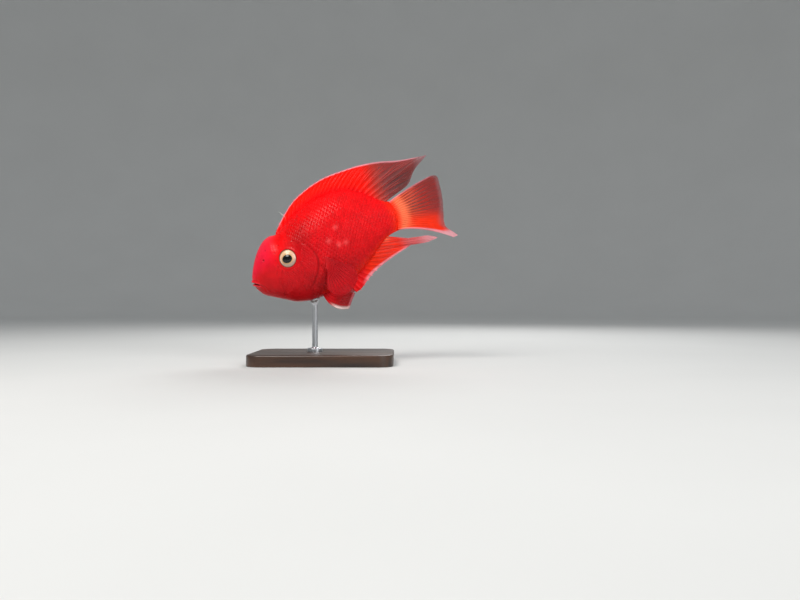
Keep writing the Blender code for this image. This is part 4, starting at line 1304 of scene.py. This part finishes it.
def build_rod(finish):
    """A round rod with a foot, and a flared seat cut to the slant of the belly."""
    drop = THROAT_FULL / math.cos(math.radians(PITCH_DEG))
    foot = to_world(np.array((ROD_STATION, 0.0, float(belly(ROD_STATION))))) / MM - (0, 0, drop)
    turn = full_turn(72)

    def ring(radius, height, slant=0.0):
        x = foot[0] + radius * np.cos(turn)
        y = radius * np.sin(turn)
        level = foot[2] + height if slant else BASE_HEIGHT + height
        return np.stack([x, y, level + slant * (belly_above(x, y) - drop + height - level)], -1)

    rings = [ring(FOOT_HALF, 0.0), ring(FOOT_HALF, FOOT_HEIGHT)]
    for angle in np.radians(np.linspace(15, 90, 6)):
        radius = FOOT_HALF - FOOT_EDGE * (1 - math.cos(angle))
        rings.append(ring(radius, FOOT_HEIGHT + FOOT_EDGE * math.sin(angle)))
    for angle in np.radians(np.linspace(0, 90, 7)):
        height = FOOT_HEIGHT + FOOT_EDGE + ROD_FILLET * (1 - math.cos(angle))
        rings.append(ring(ROD_HALF + ROD_FILLET * (1 - math.sin(angle)), height))
    for share in np.linspace(0, 1, 9):
        rings.append(ring(ROD_HALF + 1.6 * share**2.5, -5.4 + 4.3 * share, 0.02 + 0.98 * share))
    for radius, height in ((3.8, -0.5), (3.7, -0.2), (3.4, 0.3), (1.5, 0.4)):
        rings.append(ring(radius, height, 1.0))
    return upright_piece("rod", rings, finish)


# Studio

def backdrop(finish):
    """A round floor whose rim curves up into a wall far from the stand on every side, in metres."""
    bend = np.radians(np.linspace(0, 90, 24))
    radius = np.concatenate([[0.4, 0.9], 1.7 + 1.0 * np.sin(bend), [2.7]])[:, None]
    height = np.concatenate([[0.0, 0.0], 1.0 - np.cos(bend), [2.4]])[:, None]
    turn = full_turn(96)
    sides = len(turn)
    grid = np.stack([radius * np.cos(turn), radius * np.sin(turn), height + 0 * turn], -1)
    points = grid.reshape(-1, 3).tolist()
    middle = [(k, (k + 1) % sides, len(points)) for k in range(sides)]
    faces = grid_faces(len(radius), sides, wrap=True)[:, ::-1].tolist() + middle
    return smooth_mesh("floor", points + [(0.0, 0.0, 0.0)], faces, finish)


def soft_light(name, place, aim, size, power, colour=(1, 1, 1)):
    light = bpy.data.lights.new(name, "AREA")
    light.shape = "DISK"
    light.size = size
    light.energy = power
    light.color = colour
    made = add(name, light)
    made.location = place
    made.rotation_euler = (Vector(aim) - Vector(place)).to_track_quat("-Z", "Y").to_euler()


def studio():
    world = bpy.data.worlds.new("studio")
    world.use_nodes = True
    give(world.node_tree.nodes["Background"], {"Color": (0.9, 0.95, 1.0, 1), "Strength": 0.42})
    bpy.context.scene.world = world
    middle = (0.02, 0.0, 0.09)
    soft_light("key", (-0.3, -0.55, 0.75), middle, 0.5, 6.4, (1.0, 0.98, 0.95))
    soft_light("fill", (0.75, -0.8, 0.5), middle, 0.7, 4.6, (0.98, 0.99, 1.0))
    soft_light("rim", (0.2, 0.6, 0.6), middle, 0.4, 3.0)
    camera = bpy.data.cameras.new("camera")
    camera.lens = 35
    camera.sensor_width = 36
    made = add("camera", camera)
    made.location = (0.061, -0.622, 0.0504)
    made.rotation_euler = (math.radians(90), 0, 0)
    bpy.context.scene.camera = made
    bpy.context.scene.view_settings.view_transform = "Standard"


def main():
    chance = np.random.default_rng(SEED)
    flesh = wet_skin("flesh", 0.36, 0.09, 0.08, 0.045, 0.1)
    membrane = wet_skin("membrane", 0.42, 0.08, 0.05, 0.02, 0.0)
    wet_eye = wet_skin("wet_eye", 0.14, 0.3, 0.35, 0.0, 0.0)

    skin = build_skin(flesh)
    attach(skin, "root")
    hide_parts("head", "trunk", "tail_stalk", "gill_cover_left", "gill_cover_right")
    for name, side in (("scales_left", -1), ("scales_right", 1)):
        coat = scales(name, side, flesh, chance)
        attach(coat, "root")
    for fin, name, rows, colour, slot in (
        (dorsal(), "dorsal_fin", 90, dorsal_colour, "dorsal_membrane"),
        (tail(), "tail_fin", 90, tail_colour, "tail_membrane"),
        (anal(), "anal_fin", 80, anal_colour, "anal_membrane"),
        (pelvic(-1), "pelvic_fin_left", 50, pelvic_colour, "pelvic_membrane"),
        (pelvic(1), "pelvic_fin_right", 50, pelvic_colour, "pelvic_membrane"),
        (pectoral(-1), "pectoral_fin_left", 60, pectoral_colour, "pectoral_membrane"),
        (pectoral(1), "pectoral_fin_right", 60, pectoral_colour, "pectoral_membrane"),
    ):
        made = fin.build(name + "_fine", rows, membrane, colour)
        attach(made, "root")
        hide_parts(name)
    spine = free_spine(membrane)
    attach(spine, "root")
    for name, side in (("left", -1), ("right", 1)):
        eye = build_eye("eyeball_" + name, side, wet_eye)
        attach(eye, "root")
        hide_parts("eye_" + name, "pupil_" + name)

    for made, node, slot in (
        (build_base(dark_wood()), "stand_base", "stand_wood"),
        (build_rod(brushed_steel()), "stand_rod", "stand_steel"),
    ):
        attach(made, "root")
        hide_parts(node)
    backdrop(studio_floor())
    studio()


main()
